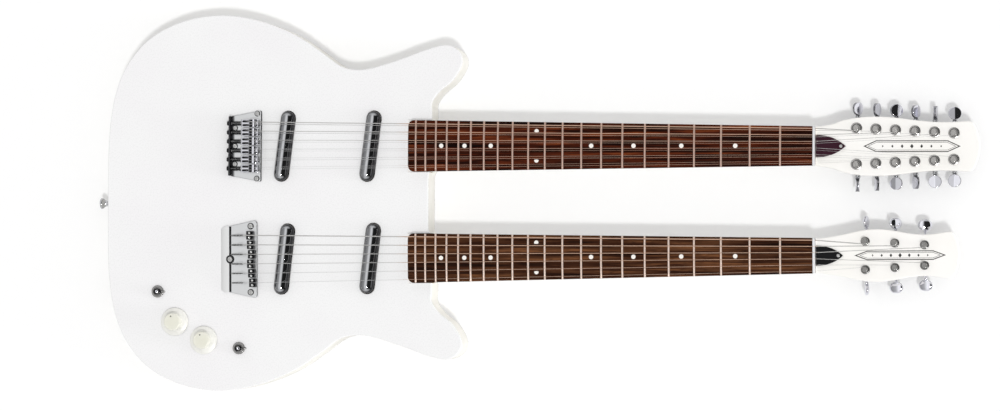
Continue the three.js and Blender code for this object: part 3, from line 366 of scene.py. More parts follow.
# Sections of equal counts bridged into a closed skin
def lofted(sections):
    bm = bmesh.new()
    before = None
    for i, section in enumerate(sections):
        capped = i in (0, len(sections) - 1)
        ring = bmesh.ops.create_circle(bm, cap_ends=capped, segments=len(section), radius=1)["verts"]
        for vert, place in zip(ring, section):
            vert.co = place
        edges = {e for v in ring for e in v.link_edges}
        if before:
            bmesh.ops.bridge_loops(bm, edges=list(before | edges))
        before = {e for e in edges if e.is_valid}
    return bm


def boxOf(low, high, bevel=0.0):
    bm = bmesh.new()
    bmesh.ops.create_cube(bm, size=1)
    for vert in bm.verts:
        vert.co = [b if c > 0 else a for a, b, c in zip(low, high, vert.co)]
    if bevel:
        bevelled(bm, bm.edges, bevel, 2)
    return bm


# A round bar between two heights
def barOf(radius, bottom, top, sides=24, bevel=0.0):
    bm = turned([(0, bottom), (radius, bottom), (radius, top), (0, top)], sides)
    if bevel:
        bevelled(bm, [e for e in bm.edges if e.calc_face_angle(0) > 1], bevel, 2)
    return bm


# A flat ring round Z
def ringOf(inner, outer, bottom, top):
    return turned([(inner, bottom), (outer, bottom), (outer, top), (inner, top), (inner, bottom)], 40)


def placed(bm, *matrices):
    for matrix in reversed(matrices):
        bmesh.ops.transform(bm, matrix=matrix, verts=bm.verts)
    return bm


def joined(pieces):
    whole = bmesh.new()
    for bm in pieces:
        carrier = bpy.data.meshes.new("carrier")
        bm.to_mesh(carrier)
        bm.free()
        whole.from_mesh(carrier)
        bpy.data.meshes.remove(carrier)
    return whole


# The same shape once more at each place
def repeated(bm, places):
    return joined([placed(bm.copy(), place) for place in places])


# Hands a finished shape to a new object in the scene
def objectOf(name, bm, finishes=()):
    mesh = bpy.data.meshes.new(name)
    bm.to_mesh(mesh)
    bm.free()
    for finish in finishes:
        mesh.materials.append(finish)
    made = bpy.data.objects.new(name, mesh)
    bpy.context.scene.collection.objects.link(made)
    return made


def carve(bm, tool, operation="DIFFERENCE"):
    made = []
    for shape in (bm, tool):
        bmesh.ops.recalc_face_normals(shape, faces=shape.faces)
        made.append(objectOf("carving", shape))
    modifier = made[0].modifiers.new("carve", "BOOLEAN")
    modifier.operation = operation
    modifier.solver = "EXACT"
    modifier.use_self = True
    modifier.object = made[1]
    result = bmesh.new()
    result.from_object(made[0], bpy.context.evaluated_depsgraph_get())
    for mesh in [piece.data for piece in made]:
        bpy.data.meshes.remove(mesh)  # its object goes with it
    return result


# Round wire along runs of points, each with its own radius
def wires(runs, radii, sides=8):
    made = bpy.data.curves.new("wires", "CURVE")
    made.dimensions = "3D"
    made.bevel_depth = 1.0
    made.bevel_resolution = sides // 2 - 1
    made.use_fill_caps = True
    for run, radius in zip(runs, radii):
        spline = made.splines.new("POLY")
        spline.points.add(len(run) - 1)
        for point, place in zip(spline.points, run):
            point.co = [*place, 1.0]
            point.radius = radius
    carrier = bpy.data.objects.new("wires", made)
    mesh = bpy.data.meshes.new_from_object(carrier)
    bm = bmesh.new()
    bm.from_mesh(mesh)
    bpy.data.objects.remove(carrier)
    bpy.data.curves.remove(made)
    bpy.data.meshes.remove(mesh)
    return bm


# A coil along X between two points, twelve steps to a turn
def coilRun(start, end, radius, turns, phase=0.0):
    run = []
    for i in range(turns * 12 + 1):
        x, y, z = Vector(start).lerp(Vector(end), i / (turns * 12))
        angle = math.pi * i / 6 + phase
        run.append((x, y + radius * math.cos(angle), z + radius * math.sin(angle)))
    return run


# Puts a shape in place and hands it to its body, with its finishes and the node it stands for
def addPiece(name, bm, finish, place=Matrix(), stands=None, body="guitar", sharp=38):
    placed(bm, metre, place)
    bmesh.ops.remove_doubles(bm, verts=bm.verts, dist=0.000001)
    bmesh.ops.recalc_face_normals(bm, faces=bm.faces)
    for face in bm.faces:
        face.smooth = True
    for edge in bm.edges:
        edge.smooth = edge.calc_face_angle(math.pi) < math.radians(sharp)
    piece = objectOf(name, bm, [materials[key] for key in finish.split()])
    piece.modifiers.new("evenShading", "WEIGHTED_NORMAL").keep_sharp = True
    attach(piece, body)
    if stands:
        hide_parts(stands)
    return piece


# A screw head with a cross recess, standing on its seat
def crossHead(radius, height):
    head = turned([(0, 0), (radius, 0), (radius, height * 0.6, radius * 0.08),
                   (radius * 0.86, height, radius * 0.08), (0, height)], 28)
    arm, half = radius * 0.6, radius * 0.12
    cross = [boxOf((-x, -y, height * 0.35), (x, y, height + 1)) for x, y in ((arm, half), (half, arm))]
    return carve(head, joined(cross))


def boardHalf(neck, x):
    share = (line["scaleLength"] - x) / (line["scaleLength"] - line["boardEnd"])
    return (neck["nutWidth"] + (neck["endWidth"] - neck["nutWidth"]) * share) / 2


def crown(y):
    return line["boardRadius"] - math.sqrt(line["boardRadius"] ** 2 - y ** 2)


def courseY(neck, course):
    return (0.5 - course / 5) * neck["saddleSpread"]


def crestHeight(y):
    return line["stringAtSaddle"] - crown(y) - line["lowString"] / 2 - 0.1


# Body: two boards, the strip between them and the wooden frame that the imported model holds

body = dict(length=416.0, width=429.4, tail=175.4, depth=40.0, board=3.0, tape=1.2, inset=0.12,
            steps=5, roundOver=1.3, slotRoom=1.0, fit=0.2, neckScrew=4.6)
outlineShares = [
    (0, 0), (0.006, 0.433), (0.029, 0.637), (0.066, 0.773), (0.124, 0.887), (0.214, 0.97),
    (0.32, 1), (0.43, 0.968), (0.537, 0.884), (0.608, 0.793), (0.666, 0.716), (0.723, 0.702),
    (0.82, 0.75), (0.91, 0.81), (0.96, 0.826), (0.991, 0.7895), (0.999, 0.733),
    (0.974, 0.642), (0.935, 0.578), (0.915, 0.52), (0.915, 0.473)]
crotchShares = [(0.919, 0.17), (0.905, 0.165), (0.905, 0.125)]
pickups = dict(length=79.5, radius=8.0, height=41.4, slant=6.8, places=dict(bridge=34.5, neck=134.5))
sideMiddle = body["depth"] / 2


def bodyPoint(share):
    return Vector((share[0] * body["length"] - body["tail"], share[1] * body["width"] / 2))


def pickupPlace(neck, x):
    return neck["place"] @ at(x, 0) @ turn(-pickups["slant"])


# The room for the end of a neck, from a height up
def neckNotch(neck, bottom):
    half = boardHalf(neck, line["boardEnd"]) + body["fit"]
    low = (line["boardEnd"] - line["lip"] - body["fit"], -half, bottom)
    return placed(boxOf(low, (260, half, 50)), neck["place"])


outline = smoothRun(mirrored([tuple(bodyPoint(s)) for s in outlineShares]), body["steps"])
corner = bend(*[bodyPoint(s) for s in crotchShares], body["steps"])
outline = insetRun(outline + corner + [Vector((p.x, -p.y)) for p in reversed(corner)], body["inset"])
radius = pickups["radius"] + body["slotRoom"]
middle = pickups["length"] / 2 - pickups["radius"]
slotRun = arc((0, middle), radius, 0, 1, 12) + arc((0, -middle), radius, 1, 2, 12)
slots = [placed(raised(slotRun, 30, 50), pickupPlace(neck, x))
         for neck in necks for x in pickups["places"].values()]
topBoard = raised(outline, body["depth"] - body["board"], body["depth"], body["roundOver"])
topBoard = carve(topBoard, joined(slots + [neckNotch(neck, 30) for neck in necks]))
addPiece("bodyTop", topBoard, "whiteLacquer", stands="top_board")

neckScrews = [neck["place"] @ at(x, y) for neck in necks for x in (158, 198) for y in (-15, 15)]
backBoard = raised(outline, 0, body["board"], 0, body["roundOver"])
backBoard = carve(backBoard, repeated(barOf(body["neckScrew"], -1, 1.5), neckScrews))
addPiece("bodyBack", backBoard, "whiteLacquer", stands="back_board")
addPiece("neckScrewHeads", repeated(placed(crossHead(4.1, 1.3), at(0, 0, 1.5), zDown), neckScrews),
         "screwSteel")

tape = raised(outline, body["board"] + 0.02, body["depth"] - body["board"] - 0.02)
inner = raised(insetRun(outline, body["tape"]), 1, 39)
sideHoles = [neckNotch(neck, 20) for neck in necks]
sideHoles.append(placed(barOf(2.3, -4, 30), at(-body["tail"], 0, sideMiddle), zToX))
sideHoles.append(placed(barOf(4.9, -10, 30), at(-176.8, -92, sideMiddle), zToX))
tape = carve(carve(tape, inner), joined(sideHoles))
addPiece("sideStrip", tape, "grainedVinyl", stands="side_tape")

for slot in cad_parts["body_frame"].material_slots:
    slot.material = materials["sawnPine"]
print("body made")

# Necks: heel, shaft and headstock, joined into one

neckShape = dict(heel=22.0, heelEnd=208.0, tongue=150.0, tongueInset=4.0, sides=26,
                 rings=5, headEdge=1.3, postHole=3.3)
# Along the shaft from the heel to the nut: share, underside, how square the section is
shaftStations = [(0, 22.0, 9), (0.035, 22.0, 6), (0.075, 27.2, 2.8), (0.12, 27.5, 2.2),
                 (0.5, 28.05, 2.1), (0.9, 28.6, 2.1), (0.955, 28.6, 2.4), (1, 26.0, 4.5)]


def neckSection(x, half, bottom, square):
    top = line["neckTop"]
    section = []
    for i in range(neckShape["sides"] + 1):
        angle = math.pi * i / neckShape["sides"]
        across = math.copysign(abs(math.cos(angle)) ** (2 / square), math.cos(angle))
        down = abs(math.sin(angle)) ** (2 / square)
        section.append((x, half * across, top - (top - bottom) * down))
    return section


def neckShaft(neck):
    end, half = boardHalf(neck, headStart), boardHalf(neck, line["boardEnd"])
    run = headStart - neckShape["heelEnd"]
    sections = [neckSection(line["boardEnd"] - line["lip"], half, neckShape["heel"], 9)]
    for (s0, b0, q0), (s1, b1, q1) in zip(shaftStations, shaftStations[1:]):
        for t in (i / neckShape["rings"] for i in range(neckShape["rings"])):
            ease = t * t * (3 - 2 * t)
            x = neckShape["heelEnd"] + (s0 + (s1 - s0) * t) * run
            sections.append(neckSection(x, boardHalf(neck, x), b0 + (b1 - b0) * ease, q0 + (q1 - q0) * ease))
    return lofted(sections + [neckSection(headStart, end, *shaftStations[-1][1:])])


def headOutline(neck):
    half = [(headStart + along * neck["headLength"], across * neck["headHalf"])
            for along, across in reversed(neck["headShares"])]
    half.append((headStart - 2, neck["nutWidth"] / 2 - 0.3))
    return smoothRun(mirrored(half), 5)


def postPlaces(neck):
    places = []
    for side, row in ((1, "bass"), (-1, "treble")):
        for i in range(neck["posts"]):
            share = i / (neck["posts"] - 1)
            x, y = [a + (b - a) * share for a, b in (neck["postRun"], neck["postSpread"])]
            places.append((headStart + x, side * y, side, row, i))
    return places


for neck in necks:
    half = boardHalf(neck, line["boardEnd"]) - neckShape["tongueInset"]
    tongue = boxOf((neckShape["tongue"], -half, neckShape["heel"]),
                   (line["boardEnd"] + 3, half, body["depth"] - body["board"] - 0.6))
    head = raised(headOutline(neck), line["headTop"] - line["headDepth"], line["headTop"],
                  neckShape["headEdge"], neckShape["headEdge"], 4)
    wood = carve(carve(neckShaft(neck), head, "UNION"), tongue, "UNION")
    holes = repeated(barOf(neckShape["postHole"], 20, 60), [at(x, y) for x, y, *_ in postPlaces(neck)])
    addPiece("neck" + neck["tag"], carve(wood, holes), "creamLacquer", neck["place"],
             "neck_" + neck["tag"])
print("necks made")

# Fingerboards with their frets and dots

board = dict(corner=6.5, arcs=12, edge=0.7, fretWidth=2.2, fretHeight=1.1, dot=2.5, pairSpread=16.4,
             dots=[3, 5, 7, 9, 12, 15, 17, 19], nutHeight=2.2)


def boardSection(x, half):
    bottom = line["boardTop"] - line["boardDepth"]
    edge = line["boardTop"] - crown(half) - board["edge"]
    inner = half - board["edge"] * 0.7
    across = [inner * (2 * i / board["arcs"] - 1) for i in range(board["arcs"] + 1)]
    return [(x, -half, bottom), (x, -half, edge), *[(x, y, line["boardTop"] - crown(y)) for y in across],
            (x, half, edge), (x, half, bottom)]


def fretX(number):
    return line["scaleLength"] / 2 ** (number / 12)


def fretWire(neck, x):
    half = boardHalf(neck, x) - 0.15
    sections = []
    for i in range(13):
        y = -half + half * 2 * i / 12
        if i in (1, 11):
            y = math.copysign(half - 0.9, y)
        height = (0.2 if i in (0, 12) else board["fretHeight"]) + 0.1
        base = line["boardTop"] - crown(y) - 0.1
        sections.append([(x + board["fretWidth"] / 2 * math.cos(angle), y, base + height * math.sin(angle))
                         for angle in (math.pi * s / 8 for s in range(9))])
    return lofted(sections)


def dotPlaces():
    places = []
    for number in board["dots"]:
        x = (fretX(number) + fretX(number - 1)) / 2
        spread = [board["pairSpread"], -board["pairSpread"]] if number == 12 else [0]
        places += [at(x, y, line["boardTop"] - crown(y)) for y in spread]
    return places


for neck in necks:
    tag, place = neck["tag"], neck["place"]
    sections = []
    for angle in (math.pi / 2 * i / 8 for i in range(9)):
        x = line["boardEnd"] + board["corner"] * (1 - math.cos(angle))
        sections.append(boardSection(x, boardHalf(neck, x) - board["corner"] * (1 - math.sin(angle))))
    end = line["scaleLength"] - 0.05
    sections.append(boardSection(end, boardHalf(neck, end)))
    addPiece("fingerboard" + tag, lofted(sections), neck["wood"], place, "fingerboard_" + tag)
    frets = joined([fretWire(neck, fretX(n + 1)) for n in range(line["frets"])])
    addPiece("frets" + tag, frets, neck["frets"], place)
    dot = turned([(0, -1), (board["dot"], -1), (board["dot"], 0.02, 0.05), (0, 0.06)])
    addPiece("positionDots" + tag, repeated(dot, dotPlaces()), "dotPlastic", place)
print("fingerboards made")

# Strings, from the bridge over the saddle and the nut to the turns round each post

strings = dict(turns=2.5, stepsInTurn=20, space=0.12, height=47.6, waist=2.5, tuck=1.5)


def wrapPoints(x, y, side, radius):
    turnRadius = strings["waist"] + 0.05 + radius
    count = int(strings["turns"] * strings["stepsInTurn"])
    points = []
    for i in range(count + 1):
        turns = i / strings["stepsInTurn"]
        angle = side * (2 * math.pi * turns - math.pi / 2)
        reach = turnRadius - max(0, i - count + 3) / 3 * strings["tuck"]  # the end goes into the post
        points.append((x + reach * math.cos(angle), y + reach * math.sin(angle),
                       strings["height"] - turns * (2 * radius + strings["space"])))
    return points


def stringStart(neck, y):
    if neck is six:
        top = plates["top"] - crown(y)
        return [(-28.7, y, top - 1.6), (-28.5, y, top), (-27.4, y, top + 1.3)]
    deck = crestHeight(y) - 5.4
    return [(-11.2, y, deck - 3.5), (-10.4, y, deck - 0.6), (-8.6, y, deck + 1.2)]


def stringRuns(neck):
    posts = {(side, i): (x, y) for x, y, side, row, i in postPlaces(neck)}
    last = len(neck["gauges"]) - 1
    runs = []
    for i, gauge in enumerate(neck["gauges"]):
        course = i // neck["inCourse"]
        inPair = i % neck["inCourse"] - (neck["inCourse"] - 1) / 2
        saddleY, startY, nutY = [
            (0.5 - course / 5) * neck[spread] - inPair * neck[pair] for spread, pair in
            (("saddleSpread", "saddlePair"), ("saddleSpread", "startPair"), ("nutSpread", "nutPair"))]
        side, index = (1, i) if i < last / 2 else (-1, last - i)
        nutZ = line["stringAtNut"] - crown(nutY)
        run = stringStart(neck, startY)
        run.append((neck["crests"][course], saddleY, line["stringAtSaddle"] - crown(saddleY)))
        run += [(line["scaleLength"], nutY, nutZ), (headStart, nutY, nutZ)]
        runs.append((run + wrapPoints(*posts[side, index], side, gauge / 2), gauge / 2))
    return runs


for neck in necks:
    tag, place = neck["tag"], neck["place"]
    runs = stringRuns(neck)
    plain = [(r, g) for i, (r, g) in enumerate(runs) if g < 0.25 or i >= neck["wound"]]
    wound = [(r, g) for r, g in runs if (r, g) not in plain]
    for kind, chosen, stands in (("wound", wound, "string_set_" + tag), ("plain", plain, None)):
        piece = addPiece(kind + "Strings" + tag, wires(*zip(*chosen)), kind + "String", place,
                         stands, sharp=60)
        piece.visible_shadow = False  # the photograph's soft light leaves no shade of the strings
        piece.visible_diffuse = False
    half, start = neck["nutWidth"] / 2, line["scaleLength"]
    nut = boxOf((start + 0.02, -half, 44), (headStart, half, line["boardTop"] + board["nutHeight"]), 0.4)
    grooves = wires([[(start - 3, *run[4][1:]), (headStart + 3, *run[4][1:])] for run, _ in runs],
                    [radius + 0.06 for _, radius in runs])
    addPiece("nut" + tag, carve(nut, grooves), "filedAluminium", place)
print("strings made")

# Tuning machines: post, washer and bushing on top, housing and collar below, and the button

tuner = dict(postRadius=3.0, postTop=50.6, waist=2.5, shoulder=43.6, bottom=23.6, shaftHeight=19.5,
             housing=(15.0, 7.5, 8.5, 11.0), flat=12.0, disc=(7.0, 7.3), discHalf=2.8, bore=3.15,
             washer=1.9, oval=(7.9, 6.25), ovalFlat=5.6 / 15.8)


def postShape():
    r, w, top = tuner["postRadius"], tuner["waist"], tuner["postTop"]
    post = turned([(0, tuner["bottom"]), (r, tuner["bottom"]), (r, tuner["shoulder"], 0.3),
                   (w, tuner["shoulder"] + 1.2, 0.6), (w, top - 2.6, 0.8), (r, top - 0.9, 0.3),
                   (r, top, 0.45), (0, top - 0.05)], 28)
    return carve(post, boxOf((-0.55, -4, top - 1.6), (0.55, 4, top + 1)))


def washerShape(radius):
    bore, head, top = tuner["bore"], line["headTop"], line["headTop"] + tuner["washer"]
    return turned([(bore, head), (radius, head), (radius, head + 0.75, 0.35),
                   (radius * 0.78, head + 1.05, 0.4), (radius * 0.7, head + 0.8),
                   (radius * 0.66, top, 0.3), (bore, top), (bore, head)], 40)


# Twelve-string buttons: discs with a ridge in line with the shaft and a flat slope on each side
def discButton(neck):
    bm = bmesh.new()
    radius, across = tuner["disc"]
    bmesh.ops.create_circle(bm, cap_ends=True, segments=56, radius=radius)
    bmesh.ops.scale(bm, vec=(across / radius, 1, 1), verts=bm.verts)
    liftFaces(bm, bm.faces[:], 2)
    bmesh.ops.bisect_plane(bm, geom=bm.verts[:] + bm.edges[:] + bm.faces[:], dist=0.001,
                           plane_co=(0, 0, 0), plane_no=(1, 0, 0))
    for vert in bm.verts:
        rise = tuner["discHalf"] - abs(vert.co.x) * math.tan(math.radians(tuner["flat"]))
        vert.co.z = math.copysign(rise, vert.co.z - 1)
    bevelled(bm, [e for e in bm.edges if e.calc_face_angle(0) > 1], 0.55)
    placed(bm, at(0, neck["buttonReach"]))
    # the sideways faces of the rim take the darker chrome of the painted dark reflection
    for face in bm.faces:
        face.normal_update()
        face.material_index = 1 if abs(face.normal.z) < 0.5 else 0
    neckPart = turned([(0, 10.3), (1.7, 10.3), (1.7, 14.4), (2.5, 14.5, 0.2), (2.5, 15.3, 0.2),
                       (1.8, 15.5), (1.8, 16.2), (2.6, 17.4), (0, 18.4)], 24)
    for face in neckPart.faces:
        face.material_index = 1
    # a slight turn keeps its edges off those of the ridge, which the union needs
    return carve(bm, placed(neckPart, zToY, turn(3.75)), "UNION")


# Six-string buttons: a thin shaft that swells into a smooth oval grip
def ovalButton(neck):
    reach, shaft = neck["buttonReach"], neck["shaft"]
    wide, long = tuner["oval"]
    start = reach - long
    profile = [(0, 6.3), (shaft, 6.3), (shaft, start - 1.8), (shaft + 0.7, start - 1.5, 0.2),
               (shaft + 0.7, start - 0.7, 0.2), (shaft, start - 0.4), (shaft, start + 0.05)]
    for angle in (math.pi * i / 14 for i in range(1, 14)):
        if wide * math.sin(angle) ** 0.82 > shaft:
            profile.append((wide * math.sin(angle) ** 0.82, reach - long * math.cos(angle)))
    bm = turned(profile + [(0, reach + long)], 40)
    for vert in bm.verts:
        blend = min(max((vert.co.z - start) / 1.6, 0), 1)
        vert.co.y *= 1 + (tuner["ovalFlat"] - 1) * blend
    return placed(bm, zToY)


def collarShape(neck):
    r, reach, bore = neck["collar"], neck["collarReach"], neck["shaft"] + 0.3
    return turned([(0, 5), (r, 5), (r, reach - 4.6), (r - 0.5, reach - 4.3), (r - 0.5, reach - 3.6),
                   (r, reach - 3.3), (r, reach - 2.3), (r - 0.5, reach - 2), (r - 0.5, reach - 1.4),
                   (r, reach - 1.1), (r, reach, 0.35), (bore, reach), (bore, reach - 4), (0, reach - 4)], 28)


def housingShape(side):
    length, inner, outer, depth = tuner["housing"]
    low, high = (-inner, outer) if side > 0 else (-outer, inner)
    half, top = length / 2, line["headTop"] - line["headDepth"]
    plan = softened([(-half, low, 1.2), (half, low, 1.2), (half, high, 1.2), (-half, high, 1.2)])
    return raised(plan, top - depth, top - 0.02, 0, 1.5)


for neck in necks:
    place, tag = neck["place"], neck["tag"]
    posts = postPlaces(neck)
    spots = [at(x, y) for x, y, *_ in posts]
    washer, head = neck["washer"], line["headTop"]
    addPiece("tunerWashers" + tag, repeated(washerShape(washer), spots), neck["nickel"], place)
    # painted shade: a dark ring in the groove of each washer
    grooveShade = ringOf(washer * 0.67, washer * 0.76, head, head + 1.1)
    addPiece("washerGrooveShades" + tag, repeated(grooveShade, spots), "blackOxideAndPaintedShade", place)
    cases = []
    for spot, (x, y, side, row, index) in zip(spots, posts):
        label = f"{tag}_{row}_{index + 1}"
        shaft = spot @ at(0, 0, tuner["shaftHeight"]) @ turn(0 if side > 0 else 180)
        cases += [placed(housingShape(side), spot), placed(collarShape(neck), shaft, zToY)]
        button = discButton(neck) if neck is twelve else ovalButton(neck)
        node = "tuner_button_" + label
        addPiece("tunerButton_" + label, button, "chromePlate rimChrome",
                 place @ shaft @ turn(neck[row + "Turns"][index], "Y"), node, node)
        node = "tuner_post_" + label
        addPiece("tunerPost_" + label, postShape(), neck["nickel"],
                 place @ spot @ turn(25 + 47 * index * side), node, node)
    addPiece("tunerHousings" + tag, joined(cases), "pressedChrome", place)
print("tuning machines made")

# Truss rod covers and the printed ornament of the headstocks

for neck in necks:
    tag, place = neck["tag"], neck["place"]
    base = headStart + 0.2
    half, length = neck["coverHalf"], neck["coverLength"]
    side = bend(Vector((base, half)), Vector((base + length * 0.6, half)), Vector((base + length, 0)), 14)
    arch = side + [Vector((p.x, -p.y)) for p in reversed(side[:-1])]
    cover = raised(arch, line["headTop"] + 0.02, 42.1, 0.5)
    addPiece("trussCover" + tag, cover, neck["cover"], place, "truss_rod_cover_" + tag)
    addPiece("trussCoverScrew" + tag, placed(crossHead(1.9, 1.1), at(base + length - 5.2, 0, 42)),
             "screwSteel", place)
    first, last, high = neck["motif"]
    left, right, taper = headStart + first, headStart + last, 14
    hexagon = [Vector(p) for p in ((left, 0), (left + taper, high), (right - taper, high), (right, 0),
                                   (right - taper, -high), (left + taper, -high))]
    printed = (line["headTop"] - 0.1, line["headTop"] + 0.05)
    ink = [bandOf(insetRun(hexagon, inset), width, *printed) for inset, width in ((0, 1.0), (2.0, 0.4))]
    for i in range(7):
        x = left + (last - first) * (0.2 + 0.1 * i)
        size = 2.6 - 0.45 * abs(i - 3)
        diamond = [(x - size * 0.7, 0), (x, -size), (x + size * 0.7, 0), (x, size)]
        ink.append(raised(diamond, *printed))
    addPiece("headOrnament" + tag, joined(ink), "blackInk", place)
print("headstocks made")

# What both bridges share

def bridgePlate(front, rear, corners, lip):
    (x0, w0), (x1, w1) = front, rear
    plan = softened([(x0, -w0 / 2, corners[0]), (x0, w0 / 2, corners[0]),
                     (x1, w1 / 2, corners[1]), (x1, -w1 / 2, corners[1])], 6)
    return raised(plan, plates["bottom"], plates["top"], lip, 0, 5)


# Gives the polished front lip of a plate its own finish; on the twelve-string plate a darker chrome, as
# painted dark reflection
def paintLip(plate, index, edge):
    for face in plate.faces:
        middle = face.calc_center_median()
        face.normal_update()
        if abs(face.normal.x) > 0.2 and middle.x > edge and middle.z > plates["bottom"] + 0.3:
            face.material_index = index


# A saddle from its side view, as wide as given
def saddleOf(profile, width, y, bevel):
    return placed(raised(softened(profile, 3), -width / 2, width / 2, bevel, bevel, 2), at(0, y), yToZ)


# Twelve-string bridge: a pressed plate with an upturned rear, six bent saddles on long screws

bridgeTwelve = dict(front=(7.5, 82.0), rear=(-29.5, 68.0), flange=49.3, saddleWidth=8.6, screw=45.1,
                    spring=2.2, wire=0.38, slot=(-13.9, -5.6, 1.25), slotY=2.15, grubX=4.0, grubY=2.6)
place, deck = twelve["place"], plates["top"]
rearX, rearHalf = bridgeTwelve["rear"][0], bridgeTwelve["rear"][1] / 2


def bentSaddle(y):
    crest = crestHeight(y)
    rear, bed, shelf, base = crest - 6.2, crest - 4.8, crest - 2.0, deck - 0.1
    return saddleOf([(-15.5, base), (-15.5, rear, 0.9), (-5.5, bed, 0.8), (-0.4, crest, 0.7),
                     (2.0, crest, 0.6), (3.8, shelf, 0.4), (5.5, shelf, 0.3), (5.5, shelf - 1.6, 0.3),
                     (2.0, shelf - 1.6, 0.5), (-3.7, bed - 1.5, 0.5), (-14.0, rear - 1.3, 0.5),
                     (-14.0, base)], bridgeTwelve["saddleWidth"], y, 0.3)


plate = bridgePlate(bridgeTwelve["front"], bridgeTwelve["rear"], (3.0, 2.2), 1.3)
flange = raised(softened([(-rearHalf, 41, 0.2), (rearHalf, 41, 0.2), (rearHalf, bridgeTwelve["flange"], 2.5),
                          (-rearHalf, bridgeTwelve["flange"], 2.5)]), 0, 1.7, 0.35, 0.35, 2)
upright = Matrix(((0, 0, 1, 0), (1, 0, 0, 0), (0, 1, 0, 0), (0, 0, 0, 1)))
plate = carve(plate, placed(flange, at(rearX, 0), upright), "UNION")
paintLip(plate, 1, bridgeTwelve["front"][0] - 2)
# painted shade: the front of the flange takes a dark chrome, for the springs it mirrors and the shade it
# lies in
for face in plate.faces:  # the front of the flange mirrors the springs and lies in shade
    if face.normal.x > 0.5 and face.calc_center_median().x < rearX + 3:
        face.material_index = 2
addPiece("bridgePlate12", plate, "deckChrome edgeChrome shadedChrome", place, stands="bridge_12")

courses = [courseY(twelve, course) for course in range(6)]
slotStart, slotEnd, slotHalf = bridgeTwelve["slot"]
cuts, grubs, shadeBlocks, rods, heads, coils = [], [], [], [], [], []
for y in courses:
    crest, height = crestHeight(y), bridgeTwelve["screw"]
    # painted shade: a dark block under each saddle, so that its slots show dark
    shadeBlocks.append(boxOf((-14.6, y - 3.7, 42.35), (-3.4, y + 3.7, crest - 7.6), 0.4))
    for pair in (-1, 1):
        slotY = y + pair * bridgeTwelve["slotY"]
        slotRun = arc((slotEnd - slotHalf, slotY), slotHalf, -0.5, 0.5, 8)
        cuts.append(raised(slotRun + arc((slotStart + slotHalf, slotY), slotHalf, 0.5, 1.5, 8), 43, 60))
        spot = at(bridgeTwelve["grubX"], y + pair * bridgeTwelve["grubY"])
        cuts.append(placed(barOf(0.95, 43, 60, 16), spot))
        grub = carve(barOf(0.9, deck, crest - 1.4, 16, 0.1), barOf(0.45, crest - 2.4, 60, 6))
        grubs.append(placed(grub, spot))
    rods.append(placed(barOf(1.5, -29, -13.9, 20), at(0, y, height), zToX))
    heads.append(placed(crossHead(2.6, 2.7), at(-29.4, y, height), zToBack))
    coils.append(coilRun((-27.6, y, height), (-15.7, y, height), bridgeTwelve["spring"], 9))
saddles = joined([bentSaddle(y) for y in courses])
addPiece("saddles12", carve(saddles, joined(cuts)), "chromePlate", place)
addPiece("saddleGrubScrews12", joined(grubs), "blackOxideAndPaintedShade", place)
addPiece("saddleShadeBlocks12", joined(shadeBlocks), "blackOxideAndPaintedShade", place)
addPiece("intonationScrews12", joined(rods), "screwSteel", place)
addPiece("intonationScrewHeads12", joined(heads), "blackOxideAndPaintedShade", place)
# painted shade: the springs take a dark colour for the shade they sit in
addPiece("intonationSprings12", wires(coils, [bridgeTwelve["wire"]] * 6, 6), "blackOxideAndPaintedShade", place, sharp=70)
mounting = [at(x, y, deck) for x, y in ((-23.5, 0), (-23.5, 20.6), (-23.5, -20.6), (2.3, 37), (2.3, -37))]
addPiece("bridgeScrews12", repeated(crossHead(2.8, 1.2), mounting), "screwSteel", place)
# painted shade: a dark ring round each mounting screw, for the shade at its edge
addPiece("bridgeScrewShadeRings12", repeated(ringOf(2.6, 3.3, 0, 0.2), mounting), "blackOxideAndPaintedShade", place)
print("twelve-string bridge made")

# Six-string bridge: a plate whose tail rolls down, with six small blocks in a stepped line

bridgeSix = dict(front=(3.2, 90.0), rear=(-30.0, 75.5), tail=-40.0, slot=(-30.0, -27.4, 74.6),
                 saddleLength=6.4, saddleWidth=9.6, grubX=3.4, grubY=2.7, tailScrew=-28.7)
place = six["place"]
rearX, rearHalf = bridgeSix["rear"][0], bridgeSix["rear"][1] / 2
reach, low = rearX - bridgeSix["tail"], plates["bottom"]
roll = [(rearX + 0.4, low), (rearX + 0.4, deck)]
roll += [(rearX - reach * math.sin(angle), low + 0.25 + (deck - low - 0.25) * math.cos(angle))
         for angle in (math.pi / 2 * i / 8 for i in range(9))]
tail = raised(roll + [(bridgeSix["tail"], low)], -rearHalf, rearHalf)
for vert in tail.verts:  # the corners of the tail are drawn in
    vert.co.z *= 1 - 0.09 * max(0, (-34 - vert.co.x) / 6) ** 2
slotLow, slotHigh, slotLength = bridgeSix["slot"]
plate = bridgePlate(bridgeSix["front"], bridgeSix["rear"], (5.5, 1.4), 0.9)
plate = carve(carve(plate, placed(tail, yToZ), "UNION"),
              boxOf((slotLow, -slotLength / 2, 30), (slotHigh, slotLength / 2, 50)))
for face in plate.faces:
    face.material_index = 1 if face.calc_center_median().x < rearX else 0
paintLip(plate, 2, bridgeSix["front"][0] - 2)
addPiece("bridgePlate6", plate, "satinChrome rubbedChrome pressedChrome", place, stands="bridge_6")
# painted shade: a dark sheet under the slot, so that the slot shows dark
slotShade = boxOf((slotLow, -slotLength / 2, 40.03), (slotHigh, slotLength / 2, 40.7), 0.1)
addPiece("bridgeSlotShade6", slotShade, "blackOxideAndPaintedShade", place)

